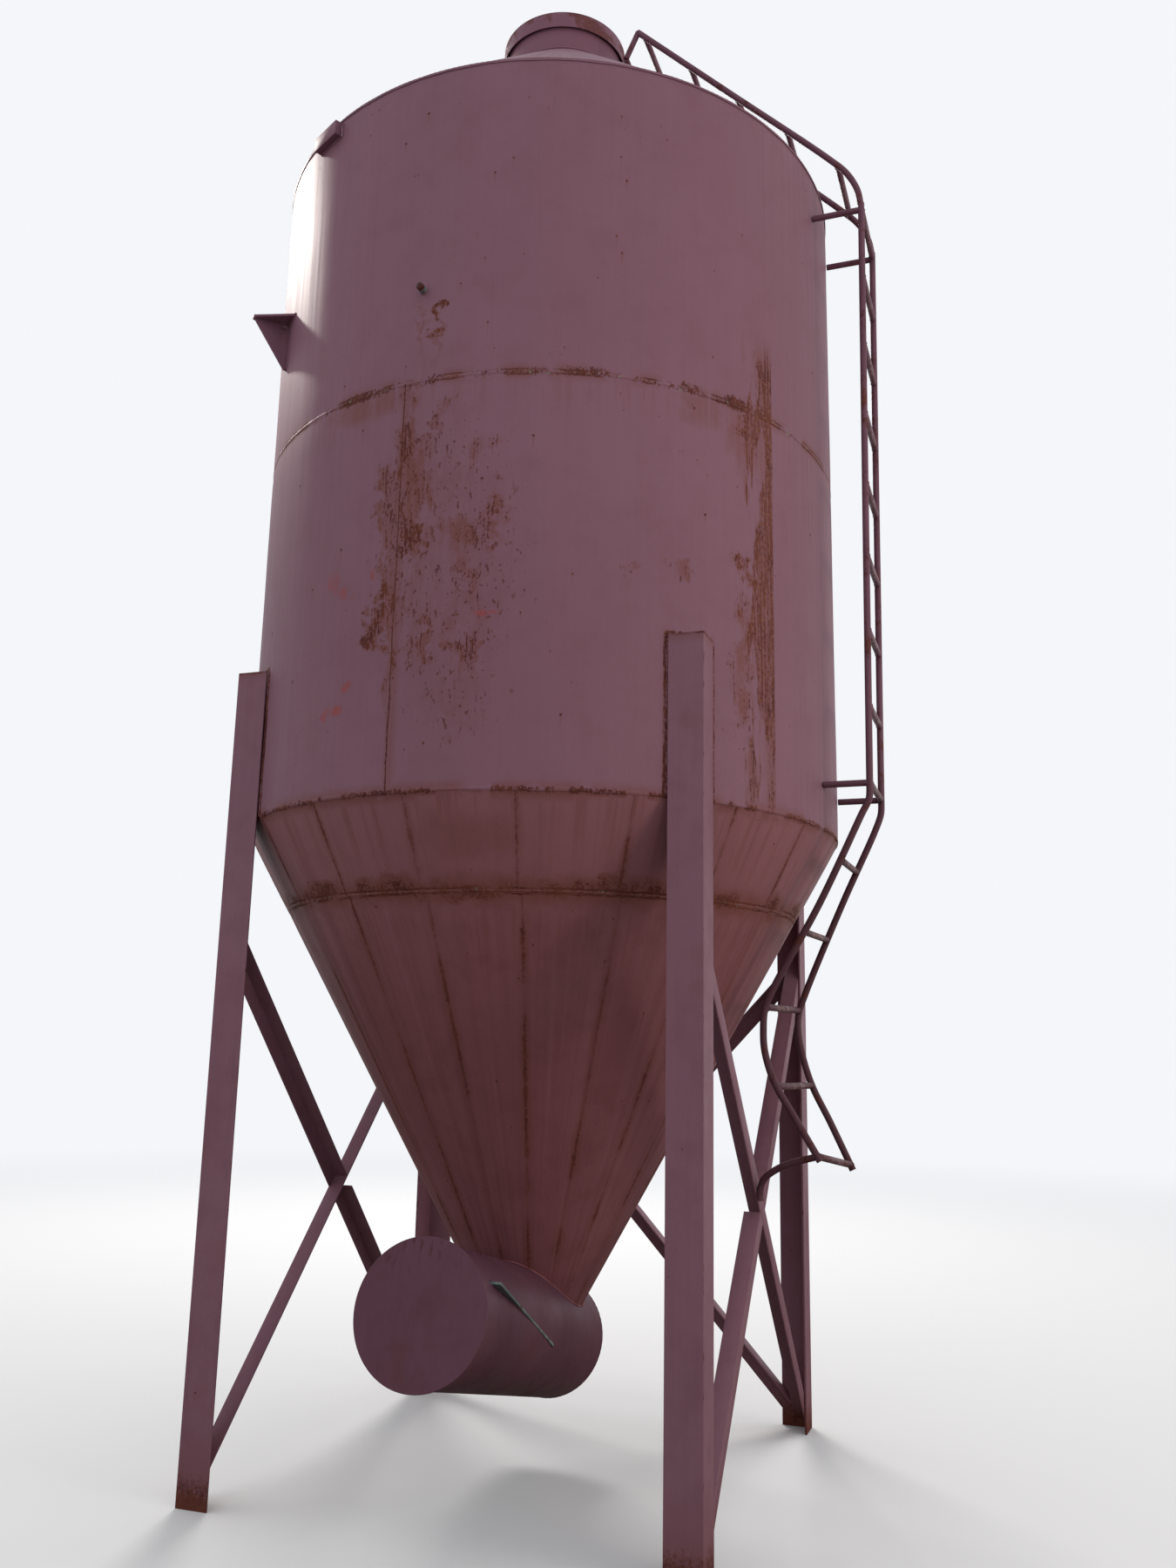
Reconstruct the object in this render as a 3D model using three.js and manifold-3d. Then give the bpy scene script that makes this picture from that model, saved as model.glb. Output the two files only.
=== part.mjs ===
// Grain silo: a welded steel bin with a cone roof and a steep hopper, on four angle-iron legs.
// Millimetres, +Z up. The front, open bay faces -Y and the ladder is on the +X side. The bin
// group has the bin's own axis at x = 0, and the whole is set over the middle of its footprint.
import * as THREE from 'three';
import { mergeVertices } from 'three/addons/utils/BufferGeometryUtils.js';
import Module from 'manifold-3d';

const wasm = await Module();
wasm.setup();

// Clearance between pieces that touch, and how round things are divided
const GAP = 0.3;
const ROUND_STEPS = 90;
const SMALL_ROUND_STEPS = 48;
const FINE_ROUND_STEPS = 360;
const HINGE_STEPS = 24;
const COPE_STEPS = 16;
const PEG_SIDES = 20;
const PIPE_SIDES = 10;
const HALVINGS = 40;
const MERGE_TOLERANCE = 1e-3;

// Bin: outside radius, plate thickness and the levels of its seams
const BIN_R = 1225;
const PLATE_T = 5;
const CONE_BOTTOM_Z = 560;
const CONE_SEAM_Z = 2090;
const WALL_BOTTOM_Z = 2407;
const WALL_SEAM_Z = 3922;
const EAVE_Z = 5209;
const HOPPER_ANGLE = 29.4;
const ROOF_ANGLE = 42.9;

// Each course is three plates: azimuth of its first seam in degrees, from the front to the right
const PLATES_IN_COURSE = 3;
const LOWER_WALL_SEAM = -4.8;
const UPPER_WALL_SEAM = 62.5;
const UPPER_CONE_SEAM = 16.8;
const LOWER_CONE_SEAM = -24;
const ROOF_SEAM = 100;

// Hatch: collar through the roof, lid with a skirt, hinge on the side away from the ladder
const COLLAR_R = 276;
const COLLAR_T = 5;
const COLLAR_BELOW_ROOF = 14;
const LID_R = 291;
const LID_T = 3;
const LID_TOP_Z = 6277;
const LID_SKIRT_Z = 6193;
const LID_CLEARANCE = 6;
const HINGE_X = -316;
const HINGE_Z = 6190;
const HINGE_PIN_R = 6;
const HINGE_PIN_LENGTH = 104;
const HINGE_BORE_PLAY = 0.5;
const KNUCKLE_R = 13;
const KNUCKLE_HALF_WIDTH = 33;
const EAR_T = 8;
const EAR_PLAY = 1;

// Hinge strap, ears and back plate seen from the side, as [x, z]
const STRAP_OUTLINE = [[-312, 6184], [-299, 6202], [-287, 6214], [-287, 6262], [-299, 6262], [-322, 6200]];
const EAR_OUTLINE = [
  [-256, 6118], [-256, 6180], [-304, 6180], [-304, HINGE_Z], [-328, HINGE_Z], [-328, 6176], [-284, 6118],
];
const BACK_PLATE_OUTLINE = [[-256, 6118], [-256, 6168], [-284, 6168], [-284, 6118]];

// Legs and braces are equal angle irons
const LEG_WIDTH = 127;
const LEG_T = 9.5;
const LEG_TOP_Z = 2977;
const BRACE_WIDTH = 63.5;
const BRACE_T = 6.35;
const BRACE_REACH = 860;
const BRACE_END = 915;
const BRACE_HIGH_Z = 1905;
const BRACE_LOW_Z = 60;
const BRACE_GROUND_CLEARANCE = 4;
const BACK_BRACE_END = 859;

// Boot: a barrel whose front end is high, its two ends and the slide plate in its right side
const BOOT_R = 228.6;
const BOOT_T = 4;
const BOOT_LENGTH = 1215;
const BOOT_FRONT_Y = -999;
const BOOT_FRONT_Z = 713;
const BOOT_TILT = 13.5;
const BOOT_LID_R = 240;
const BOOT_LID_T = 6;
const BOOT_END_T = 5;
const SLOT_START = 86;
const SLOT_END = 670;
const SLOT_START_RISE = 121;
const SLOT_END_RISE = -47;
const SLIDE_T = 10;
const SLIDE_END_PLAY = 12;
const SLIDE_EDGE_X = 231;

// Ladder: two pipe stiles, round rungs, standoffs to the wall, struts and a cross bar on the roof
const STILE_R = 13.35;
const RUNG_R = 12.8;
const LADDER_HALF_WIDTH = 180;
const RUNG_PITCH = 305;
const STILE_STEP = 60;
const ROOF_RUN_END_Z = 5040;
const WALL_RUN_END_Z = 2540;
const LOWEST_WALL_RUNG_Z = 2575;
const WALL_RUNGS = 9;
const STANDOFF_LEVELS = [2575, 5010];
const ROOF_RUNGS = 5;
const FIRST_ROOF_RUNG = 50;
const STRUT_FOOT_X = 372;
const RUN_OVERLAP = 20;
const ROOF_STILE = [
  [432, 6145], [860, 5712], [1285, 5282], [1358, 5197], [1402, 5105],
  [1416, ROOF_RUN_END_Z - RUN_OVERLAP],
];
const WALL_STILE = [[1416, ROOF_RUN_END_Z + RUN_OVERLAP], [1387, WALL_RUN_END_Z - RUN_OVERLAP]];
const HOPPER_STILE_FRONT = [
  [1387, WALL_RUN_END_Z + RUN_OVERLAP], [1384, 2515], [1352, 2450], [1190, 2120], [1012, 1806], [979, 1730],
  [972, 1654], [976, 1575], [1010, 1463], [1084, 1337], [1176, 1185],
];
const HOPPER_STILE_BACK = [
  [1387, WALL_RUN_END_Z + RUN_OVERLAP], [1385, 2520], [1364, 2460], [1222, 2156], [1064, 1791], [1040, 1720],
  [1038, 1646], [1054, 1555], [1090, 1442], [1157, 1308], [1241, 1131],
];
const HOPPER_RUNG_LEVELS = [2285, 2015, 1735, 1445];
const BOTTOM_RUNG = [[1166, 1202], [1232, 1150]];
const FOOT_PIPE_R = 12.8;
const FOOT_PIPE_TOP = [[-180, 1166, 1202], [-158, 1080, 1178], [-140, 1010, 1150]];
const FOOT_PIPE_BOTTOM = [[-120, 955, 1110], [-106, 937, 1072], [-100, 935, 1030]];

// Small things welded to the wall
const LUG_AZIMUTHS = { wall_lug_front_left: -45, wall_lug_back_right: 135 };
const LUG_Z = 4505;
const LUG_T = 10;
const LUG_HALF_WIDTH = 100;
const LUG_TIP_HALF_WIDTH = 12;
const LUG_REACH = 145;
const LUG_GUSSET_DROP = 209;
const LUG_COPE_R = 12;
const EAVE_BRACKET_AZIMUTH = -28.5;
const EAVE_BRACKET_LENGTH = 158;
const EAVE_BRACKET_HEIGHT = 60;
const EAVE_BRACKET_REACH = 28;
const EAVE_BRACKET_T = 6;
const EAVE_BRACKET_TOP_Z = 5190;
const PEG_AZIMUTH = -2.4;
const PEG_Z = 4285;
const PEG_R = 14;
const PEG_LENGTH = 34;

// Worked out from the above
const radians = THREE.MathUtils.degToRad;
const HOPPER_RUN = Math.tan(radians(HOPPER_ANGLE));
const ROOF_RISE = Math.tan(radians(ROOF_ANGLE));
const HOPPER_T_ACROSS = PLATE_T / Math.cos(radians(HOPPER_ANGLE));
const ROOF_T_UPRIGHT = PLATE_T / Math.cos(radians(ROOF_ANGLE));
const ROOF_HOLE_R = COLLAR_R + GAP;
const ROOF_TOP_Z = EAVE_Z + (BIN_R - ROOF_HOLE_R) * ROOF_RISE;
const LEG_CORNER = legCorner();
const BRACE_FACE = LEG_CORNER - LEG_T - GAP;
const SLIDE_TILT = Math.atan2(SLOT_START_RISE - SLOT_END_RISE, SLOT_END - SLOT_START);

const PAINT = { color: 0x9c5a60, roughness: 0.62, metalness: 0.1 };
const PAINT_WALL = { color: 0xa0616a, roughness: 0.6, metalness: 0.1 };
const PAINT_HOPPER = { color: 0x8e4f52, roughness: 0.65, metalness: 0.1 };
const PAINT_DARK = { color: 0x84454c, roughness: 0.6, metalness: 0.1 };
const BARE_STEEL = { color: 0x6f8286, roughness: 0.5, metalness: 0.6 };

const bin = new THREE.Group();
const boot = new THREE.Group();

// How far out the corner of a leg lies when the toes of its flanges touch the wall
function legCorner() {
  const reach = BIN_R + GAP;
  const toe = LEG_WIDTH;
  const heel = LEG_T;
  return (toe + heel + Math.sqrt(2 * reach * reach - (toe - heel) * (toe - heel))) / 2;
}

function hopperR(z) {
  return BIN_R - (WALL_BOTTOM_Z - z) * HOPPER_RUN;
}

function roofZ(r) {
  return EAVE_Z + (BIN_R - r) * ROOF_RISE;
}

// Direction of an azimuth: 0 is the front, -Y, and it turns towards the right, +X
function heading(azimuth) {
  const angle = radians(azimuth);
  return new THREE.Vector2(Math.sin(angle), -Math.cos(angle));
}

function turnedOut(position, index) {
  let volume = 0;
  const a = new THREE.Vector3();
  const b = new THREE.Vector3();
  const c = new THREE.Vector3();
  for (let i = 0; i < index.length; i += 3) {
    a.fromArray(position, 3 * index[i]);
    b.fromArray(position, 3 * index[i + 1]);
    c.fromArray(position, 3 * index[i + 2]);
    volume += a.dot(b.cross(c));
  }
  return volume > 0;
}

// A closed three.js geometry as a solid that can be joined and cut
function solid(geometry) {
  const bare = geometry.clone();
  bare.deleteAttribute('normal');
  bare.deleteAttribute('uv');
  const merged = mergeVertices(bare, MERGE_TOLERANCE);
  const position = merged.attributes.position.array;
  const corners = merged.index.array;
  const kept = [];
  for (let i = 0; i < corners.length; i += 3) {
    const [a, b, c] = [corners[i], corners[i + 1], corners[i + 2]];
    if (a !== b && b !== c && c !== a) kept.push(a, b, c);
  }
  if (!turnedOut(position, kept)) kept.reverse();
  const mesh = new wasm.Mesh({ numProp: 3, vertProperties: position, triVerts: Uint32Array.from(kept) });
  return new wasm.Manifold(mesh);
}

function geometryOf(body) {
  const mesh = body.getMesh();
  const geometry = new THREE.BufferGeometry();
  geometry.setAttribute('position', new THREE.BufferAttribute(Float32Array.from(mesh.vertProperties), 3));
  geometry.setIndex(new THREE.BufferAttribute(Uint32Array.from(mesh.triVerts), 1));
  geometry.computeVertexNormals();
  return geometry;
}

function addPiece(group, name, shape, finish) {
  const geometry = shape.isBufferGeometry ? shape : geometryOf(shape);
  const mesh = new THREE.Mesh(geometry, new THREE.MeshStandardMaterial(finish));
  mesh.name = name;
  group.add(mesh);
  return mesh;
}

function outline(points) {
  const shape = new THREE.Shape();
  points.forEach(([x, y], i) => (i ? shape.lineTo(x, y) : shape.moveTo(x, y)));
  shape.closePath();
  return shape;
}

function slab(shape, depth) {
  const curveSegments = SMALL_ROUND_STEPS / 4;
  return new THREE.ExtrudeGeometry(shape, { depth, bevelEnabled: false, curveSegments });
}

// A closed outline of [radius, height] points turned about the upright axis
function ring(points, steps, firstAzimuth = 0) {
  const profile = [...points, points[0]].map(([r, z]) => new THREE.Vector2(r, z));
  const lathe = new THREE.LatheGeometry(profile, steps, radians(firstAzimuth));
  lathe.rotateX(Math.PI / 2);
  return solid(lathe);
}

function uprightRod(radius, lowZ, highZ, steps) {
  const rod = new THREE.CylinderGeometry(radius, radius, highZ - lowZ, steps);
  rod.rotateX(Math.PI / 2);
  rod.translate(0, 0, (lowZ + highZ) / 2);
  return rod;
}

// The share of the round that one plate of a course takes, less half a gap at each side
function wedge(azimuth, sweep) {
  const far = 3 * BIN_R;
  const inset = heading(azimuth + sweep / 2).multiplyScalar(GAP / 2 / Math.sin(radians(sweep / 2)));
  const points = [[inset.x, inset.y]];
  for (const share of [0, 1 / 3, 2 / 3, 1]) {
    const edge = heading(azimuth + sweep * share).multiplyScalar(far).add(inset);
    points.push([edge.x, edge.y]);
  }
  return solid(slab(outline(points), LID_TOP_Z));
}

function addCourse(name, points, firstSeam, finish, cutter) {
  const whole = ring(points, ROUND_STEPS, firstSeam);
  const sweep = 360 / PLATES_IN_COURSE;
  for (let plate = 0; plate < PLATES_IN_COURSE; plate += 1) {
    let body = whole.intersect(wedge(firstSeam + plate * sweep, sweep));
    if (cutter) body = body.subtract(cutter);
    addPiece(bin, `${name}_${plate + 1}`, body, finish);
  }
}

function addWall() {
  const inner = BIN_R - PLATE_T;
  const lowTop = WALL_SEAM_Z - GAP;
  const highTop = EAVE_Z - GAP;
  const lower = [[BIN_R, WALL_BOTTOM_Z], [BIN_R, lowTop], [inner, lowTop], [inner, WALL_BOTTOM_Z]];
  const upper = [[BIN_R, WALL_SEAM_Z], [BIN_R, highTop], [inner, highTop], [inner, WALL_SEAM_Z]];
  addCourse('wall_lower', lower, LOWER_WALL_SEAM, PAINT_WALL);
  addCourse('wall_upper', upper, UPPER_WALL_SEAM, PAINT_WALL);
}

function conePlate(lowZ, highZ) {
  return [
    [hopperR(lowZ), lowZ], [hopperR(highZ), highZ],
    [hopperR(highZ) - HOPPER_T_ACROSS, highZ], [hopperR(lowZ) - HOPPER_T_ACROSS, lowZ],
  ];
}

function addHopper() {
  const barrel = new THREE.CylinderGeometry(BOOT_R + GAP, BOOT_R + GAP, 2 * BOOT_LENGTH, SMALL_ROUND_STEPS);
  barrel.applyMatrix4(boot.matrix);
  addCourse('hopper_upper', conePlate(CONE_SEAM_Z, WALL_BOTTOM_Z - GAP), UPPER_CONE_SEAM, PAINT_HOPPER);
  addCourse(
    'hopper_lower', conePlate(CONE_BOTTOM_Z, CONE_SEAM_Z - GAP), LOWER_CONE_SEAM, PAINT_HOPPER, solid(barrel),
  );
}

function addRoof() {
  const lift = ROOF_T_UPRIGHT / ROOF_RISE;
  const points = [
    [BIN_R, EAVE_Z], [ROOF_HOLE_R, ROOF_TOP_Z],
    [ROOF_HOLE_R, ROOF_TOP_Z - ROOF_T_UPRIGHT], [BIN_R - lift, EAVE_Z],
  ];
  addCourse('roof', points, ROOF_SEAM, PAINT_WALL);
}

function addHatchCollar() {
  const top = LID_TOP_Z - LID_T - LID_CLEARANCE;
  const low = ROOF_TOP_Z - COLLAR_BELOW_ROOF;
  const inner = COLLAR_R - COLLAR_T;
  const points = [[COLLAR_R, low], [COLLAR_R, top], [inner, top], [inner, low]];
  addPiece(bin, 'hatch_collar', ring(points, SMALL_ROUND_STEPS), PAINT);
}

// A flat plate in the XZ plane, spread from one y to the other
function uprightPlate(points, lowY, highY) {
  const plate = slab(outline(points), highY - lowY);
  plate.rotateX(Math.PI / 2);
  plate.translate(0, highY, 0);
  return solid(plate);
}

// A round bar on the hinge's axis, from one y to the other
function hingeRod(radius, lowY, highY) {
  const rod = new THREE.CylinderGeometry(radius, radius, highY - lowY, HINGE_STEPS);
  rod.translate(HINGE_X, (lowY + highY) / 2, HINGE_Z);
  return solid(rod);
}

function addHatchLid() {
  const inner = LID_R - LID_T;
  const cap = ring(
    [[0, LID_TOP_Z], [LID_R, LID_TOP_Z], [LID_R, LID_SKIRT_Z], [inner, LID_SKIRT_Z],
      [inner, LID_TOP_Z - LID_T], [0, LID_TOP_Z - LID_T]],
    SMALL_ROUND_STEPS,
  );
  const strap = uprightPlate(STRAP_OUTLINE, -KNUCKLE_HALF_WIDTH, KNUCKLE_HALF_WIDTH);
  const inside = solid(uprightRod(inner, LID_SKIRT_Z - LID_R, LID_TOP_Z - LID_T, SMALL_ROUND_STEPS));
  const knuckle = hingeRod(KNUCKLE_R, -KNUCKLE_HALF_WIDTH, KNUCKLE_HALF_WIDTH);
  const bore = hingeRod(HINGE_PIN_R + HINGE_BORE_PLAY, -2 * KNUCKLE_HALF_WIDTH, 2 * KNUCKLE_HALF_WIDTH);
  const lid = cap.add(strap.subtract(inside)).add(knuckle).subtract(bore);
  addPiece(bin, 'hatch_lid', lid, PAINT);
}

function addHatchHinge() {
  const near = KNUCKLE_HALF_WIDTH + EAR_PLAY;
  const far = near + EAR_T;
  const collar = solid(uprightRod(COLLAR_R + GAP, EAVE_Z, LID_TOP_Z, SMALL_ROUND_STEPS));
  let bracket = uprightPlate(BACK_PLATE_OUTLINE, -far, far);
  for (const side of [-1, 1]) {
    const [lowY, highY] = side < 0 ? [-far, -near] : [near, far];
    bracket = bracket.add(uprightPlate(EAR_OUTLINE, lowY, highY)).add(hingeRod(KNUCKLE_R, lowY, highY));
  }
  const bore = hingeRod(HINGE_PIN_R + GAP, -HINGE_PIN_LENGTH, HINGE_PIN_LENGTH);
  addPiece(bin, 'hatch_hinge_bracket', bracket.subtract(collar).subtract(bore), PAINT_DARK);
  const pin = new THREE.CylinderGeometry(HINGE_PIN_R, HINGE_PIN_R, HINGE_PIN_LENGTH, HINGE_STEPS);
  addPiece(bin, 'hatch_hinge_pin', pin, PAINT_DARK).position.set(HINGE_X, 0, HINGE_Z);
}

// An equal angle with its outer corner at the origin and its flanges along +x and +y
function angleOutline(width, thickness) {
  return outline([
    [0, 0], [width, 0], [width, thickness], [thickness, thickness], [thickness, width], [0, width],
  ]);
}

function addLegs() {
  const corners = {
    front_left: [-1, -1, 0], front_right: [1, -1, 90], back_right: [1, 1, 180], back_left: [-1, 1, 270],
  };
  for (const [place, [x, y, turn]] of Object.entries(corners)) {
    const leg = addPiece(bin, `leg_${place}`, slab(angleOutline(LEG_WIDTH, LEG_T), LEG_TOP_Z), PAINT);
    leg.position.set(x * LEG_CORNER, y * LEG_CORNER, 0);
    leg.rotation.z = radians(turn);
  }
}

// One brace in a bay: normal points out of the bay, across runs along it, both level unit vectors
function braceLine(normal, across, startZ, endZ, depth) {
  const start = across.clone().multiplyScalar(-BRACE_REACH).setZ(startZ);
  const end = across.clone().multiplyScalar(BRACE_REACH).setZ(endZ);
  const along = end.clone().sub(start).normalize();
  let down = along.clone().cross(normal);
  if (down.z > 0) down = down.negate();
  const inward = normal.clone().negate();
  const run = down.clone().cross(inward);
  const middle = start.clone().add(end).multiplyScalar(0.5);
  const length = start.distanceTo(end) + 4 * BRACE_WIDTH;
  const corner = middle.addScaledVector(normal, BRACE_FACE)
    .addScaledVector(down, -BRACE_WIDTH / 2 - depth)
    .addScaledVector(run, -length / 2);
  const place = new THREE.Matrix4().makeBasis(down, inward, run).setPosition(corner);
  return { place, length };
}

function bayBox(normal, endReach) {
  const deep = 2 * (BRACE_FACE + LEG_T);
  const wide = 2 * endReach;
  const high = LEG_TOP_Z;
  const size = Math.abs(normal.x) > 0.5 ? [deep, wide, high] : [wide, deep, high];
  const box = new THREE.BoxGeometry(...size);
  box.translate(0, 0, high / 2 + BRACE_GROUND_CLEARANCE);
  return solid(box);
}

function addBay(side, normal, across, endReach, wholeFallsForward) {
  const bay = bayBox(normal, endReach);
  const lines = [[BRACE_HIGH_Z, BRACE_LOW_Z], [BRACE_LOW_Z, BRACE_HIGH_Z]];
  const [wholeEnds, cutEnds] = wholeFallsForward ? [lines[1], lines[0]] : lines;
  const whole = braceLine(normal, across, ...wholeEnds, 0);
  const cut = braceLine(normal, across, ...cutEnds, 0);
  const section = angleOutline(BRACE_WIDTH, BRACE_T);
  const wholeBody = slab(section, whole.length).applyMatrix4(whole.place);
  addPiece(bin, `brace_${side}_whole`, solid(wholeBody).intersect(bay), PAINT_DARK);
  const room = braceLine(normal, across, ...wholeEnds, GAP);
  const roomDepth = BRACE_WIDTH + 2 * GAP;
  const roomOutline = outline([[0, -GAP], [roomDepth, -GAP], [roomDepth, roomDepth], [0, roomDepth]]);
  const envelope = solid(slab(roomOutline, room.length).applyMatrix4(room.place));
  const cutBar = solid(slab(section, cut.length).applyMatrix4(cut.place));
  const cutBody = cutBar.intersect(bay).subtract(envelope);
  const halves = cutBody.decompose().sort((a, b) => a.boundingBox().max[2] - b.boundingBox().max[2]);
  addPiece(bin, `brace_${side}_lower`, halves[0], PAINT_DARK);
  addPiece(bin, `brace_${side}_upper`, halves[1], PAINT_DARK);
}

function addBraces() {
  const backwards = new THREE.Vector3(0, 1, 0);
  const right = new THREE.Vector3(1, 0, 0);
  addBay('right', right, backwards, BRACE_END, false);
  addBay('left', right.clone().negate(), backwards, BRACE_END, true);
  addBay('back', backwards, right, BACK_BRACE_END, false);
}

// The boot's own frame: +Y runs along the barrel from its front end, and X stays level
function placeBoot() {
  boot.position.set(0, BOOT_FRONT_Y, BOOT_FRONT_Z);
  boot.rotation.x = -radians(BOOT_TILT);
  boot.updateMatrix();
}

function barrelRing(outer, inner, start, end) {
  const profile = [[outer, start], [outer, end], [inner, end], [inner, start], [outer, start]];
  const points = profile.map(([r, y]) => new THREE.Vector2(r, y));
  return solid(new THREE.LatheGeometry(points, SMALL_ROUND_STEPS));
}

function slideBody(extra, lowX, highX) {
  const length = (SLOT_END - SLOT_START) / Math.cos(SLIDE_TILT) - (extra ? 0 : 2 * SLIDE_END_PLAY);
  const plate = new THREE.BoxGeometry(highX - lowX, length, SLIDE_T + 2 * extra);
  plate.rotateX(-SLIDE_TILT);
  plate.translate((lowX + highX) / 2, (SLOT_START + SLOT_END) / 2, (SLOT_START_RISE + SLOT_END_RISE) / 2);
  return solid(plate);
}

function addBoot() {
  const inner = BOOT_R - BOOT_T;
  const coneHeight = WALL_BOTTOM_Z - CONE_BOTTOM_Z;
  const coneTop = BIN_R - HOPPER_T_ACROSS;
  const coneLow = hopperR(CONE_BOTTOM_Z) - HOPPER_T_ACROSS;
  const cone = new THREE.CylinderGeometry(coneTop, coneLow, coneHeight, ROUND_STEPS);
  cone.rotateX(Math.PI / 2);
  cone.translate(0, 0, CONE_BOTTOM_Z + coneHeight / 2);
  cone.applyMatrix4(boot.matrix.clone().invert());
  const slot = slideBody(GAP, 0, 2 * BOOT_R);
  const barrel = barrelRing(BOOT_R, inner, 0, BOOT_LENGTH).subtract(solid(cone)).subtract(slot);
  addPiece(boot, 'boot_barrel', barrel, PAINT_DARK);
  const lid = new THREE.CylinderGeometry(BOOT_LID_R, BOOT_LID_R, BOOT_LID_T, SMALL_ROUND_STEPS);
  addPiece(boot, 'boot_lid', lid, PAINT).position.y = -GAP - BOOT_LID_T / 2;
  const end = new THREE.CylinderGeometry(BOOT_R, BOOT_R, BOOT_END_T, SMALL_ROUND_STEPS);
  addPiece(boot, 'boot_end', end, PAINT_DARK).position.y = BOOT_LENGTH + GAP + BOOT_END_T / 2;
  const room = new THREE.CylinderGeometry(inner - GAP, inner - GAP, 4 * BOOT_LENGTH, SMALL_ROUND_STEPS);
  const leftPart = slideBody(0, -BOOT_R, GAP).intersect(solid(room));
  addPiece(boot, 'boot_slide_plate', leftPart.add(slideBody(0, 0, SLIDE_EDGE_X)), BARE_STEEL);
}

function stileCurve(points, y) {
  const places = points.map(([x, z]) => new THREE.Vector3(x, y, z));
  return places.length > 2
    ? new THREE.CatmullRomCurve3(places, false, 'centripetal')
    : new THREE.LineCurve3(places[0], places[1]);
}

function roundOutline(radius) {
  const points = [];
  for (let side = 0; side < PIPE_SIDES; side += 1) {
    const angle = (2 * Math.PI * side) / PIPE_SIDES;
    points.push([radius * Math.cos(angle), radius * Math.sin(angle)]);
  }
  return outline(points);
}

function pipe(curve, radius) {
  const steps = curve.isLineCurve3 ? 1 : Math.round(curve.getLength() / STILE_STEP);
  return solid(new THREE.ExtrudeGeometry(roundOutline(radius), { steps, extrudePath: curve }));
}

// Everything between two levels, to trim a run of the ladder where the next one meets it
function between(lowZ, highZ) {
  const box = new THREE.BoxGeometry(4 * BIN_R, 4 * BIN_R, highZ - lowZ);
  box.translate(0, 0, (lowZ + highZ) / 2);
  return solid(box);
}

function bar(from, to, radius) {
  return pipe(new THREE.LineCurve3(from, to), radius);
}

function pointAtHeight(curve, z) {
  let [high, low] = [0, 1];
  for (let pass = 0; pass < HALVINGS; pass += 1) {
    const middle = (high + low) / 2;
    if (curve.getPointAt(middle).z > z) high = middle;
    else low = middle;
  }
  return curve.getPointAt((high + low) / 2);
}

function addRoofRun() {
  const front = stileCurve(ROOF_STILE, -LADDER_HALF_WIDTH);
  const back = stileCurve(ROOF_STILE, LADDER_HALF_WIDTH);
  const barZ = roofZ(STRUT_FOOT_X) + (RUNG_R + GAP) / Math.cos(radians(ROOF_ANGLE));
  let body = pipe(front, STILE_R).add(pipe(back, STILE_R));
  for (let rung = 0; rung < ROOF_RUNGS; rung += 1) {
    const share = (FIRST_ROOF_RUNG + rung * RUNG_PITCH) / front.getLength();
    body = body.add(bar(front.getPointAt(share), back.getPointAt(share), RUNG_R));
  }
  const feet = [-1, 1].map((side) => new THREE.Vector3(STRUT_FOOT_X, side * LADDER_HALF_WIDTH, barZ));
  body = body.add(bar(front.getPointAt(0), feet[0], RUNG_R));
  body = body.add(bar(back.getPointAt(0), feet[1], RUNG_R));
  body = body.add(bar(feet[0], feet[1], RUNG_R));
  addPiece(bin, 'ladder_roof_run', body.intersect(between(ROOF_RUN_END_Z, 2 * LID_TOP_Z)), PAINT_DARK);
}

function addWallRun() {
  const front = stileCurve(WALL_STILE, -LADDER_HALF_WIDTH);
  const back = stileCurve(WALL_STILE, LADDER_HALF_WIDTH);
  let body = pipe(front, STILE_R).add(pipe(back, STILE_R));
  for (let rung = 0; rung < WALL_RUNGS; rung += 1) {
    const z = LOWEST_WALL_RUNG_Z + rung * RUNG_PITCH;
    body = body.add(bar(pointAtHeight(front, z), pointAtHeight(back, z), RUNG_R));
  }
  for (const z of STANDOFF_LEVELS) {
    for (const stile of [front, back]) {
      const outer = pointAtHeight(stile, z);
      const inner = outer.clone().setX(BIN_R - LADDER_HALF_WIDTH / 2);
      body = body.add(bar(outer, inner, RUNG_R));
    }
  }
  const wall = uprightRod(BIN_R + GAP, WALL_BOTTOM_Z, EAVE_Z, FINE_ROUND_STEPS);
  const trimmed = body.intersect(between(WALL_RUN_END_Z, ROOF_RUN_END_Z - GAP));
  addPiece(bin, 'ladder_wall_run', trimmed.subtract(solid(wall)), PAINT_DARK);
}

function hopperRun(extra) {
  const front = stileCurve(HOPPER_STILE_FRONT, -LADDER_HALF_WIDTH);
  const back = stileCurve(HOPPER_STILE_BACK, LADDER_HALF_WIDTH);
  let body = pipe(front, STILE_R + extra).add(pipe(back, STILE_R + extra));
  for (const z of HOPPER_RUNG_LEVELS) {
    body = body.add(bar(pointAtHeight(front, z), pointAtHeight(back, z), RUNG_R + extra));
  }
  const [frontEnd, backEnd] = BOTTOM_RUNG;
  const from = new THREE.Vector3(frontEnd[0], -LADDER_HALF_WIDTH, frontEnd[1]);
  const to = new THREE.Vector3(backEnd[0], LADDER_HALF_WIDTH, backEnd[1]);
  return body.add(bar(from, to, RUNG_R + extra));
}

function footPipe(radius) {
  const points = [...FOOT_PIPE_TOP, ...FOOT_PIPE_BOTTOM].map(([y, x, z]) => new THREE.Vector3(x, y, z));
  return pipe(new THREE.CatmullRomCurve3(points, false, 'centripetal'), radius);
}

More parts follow.
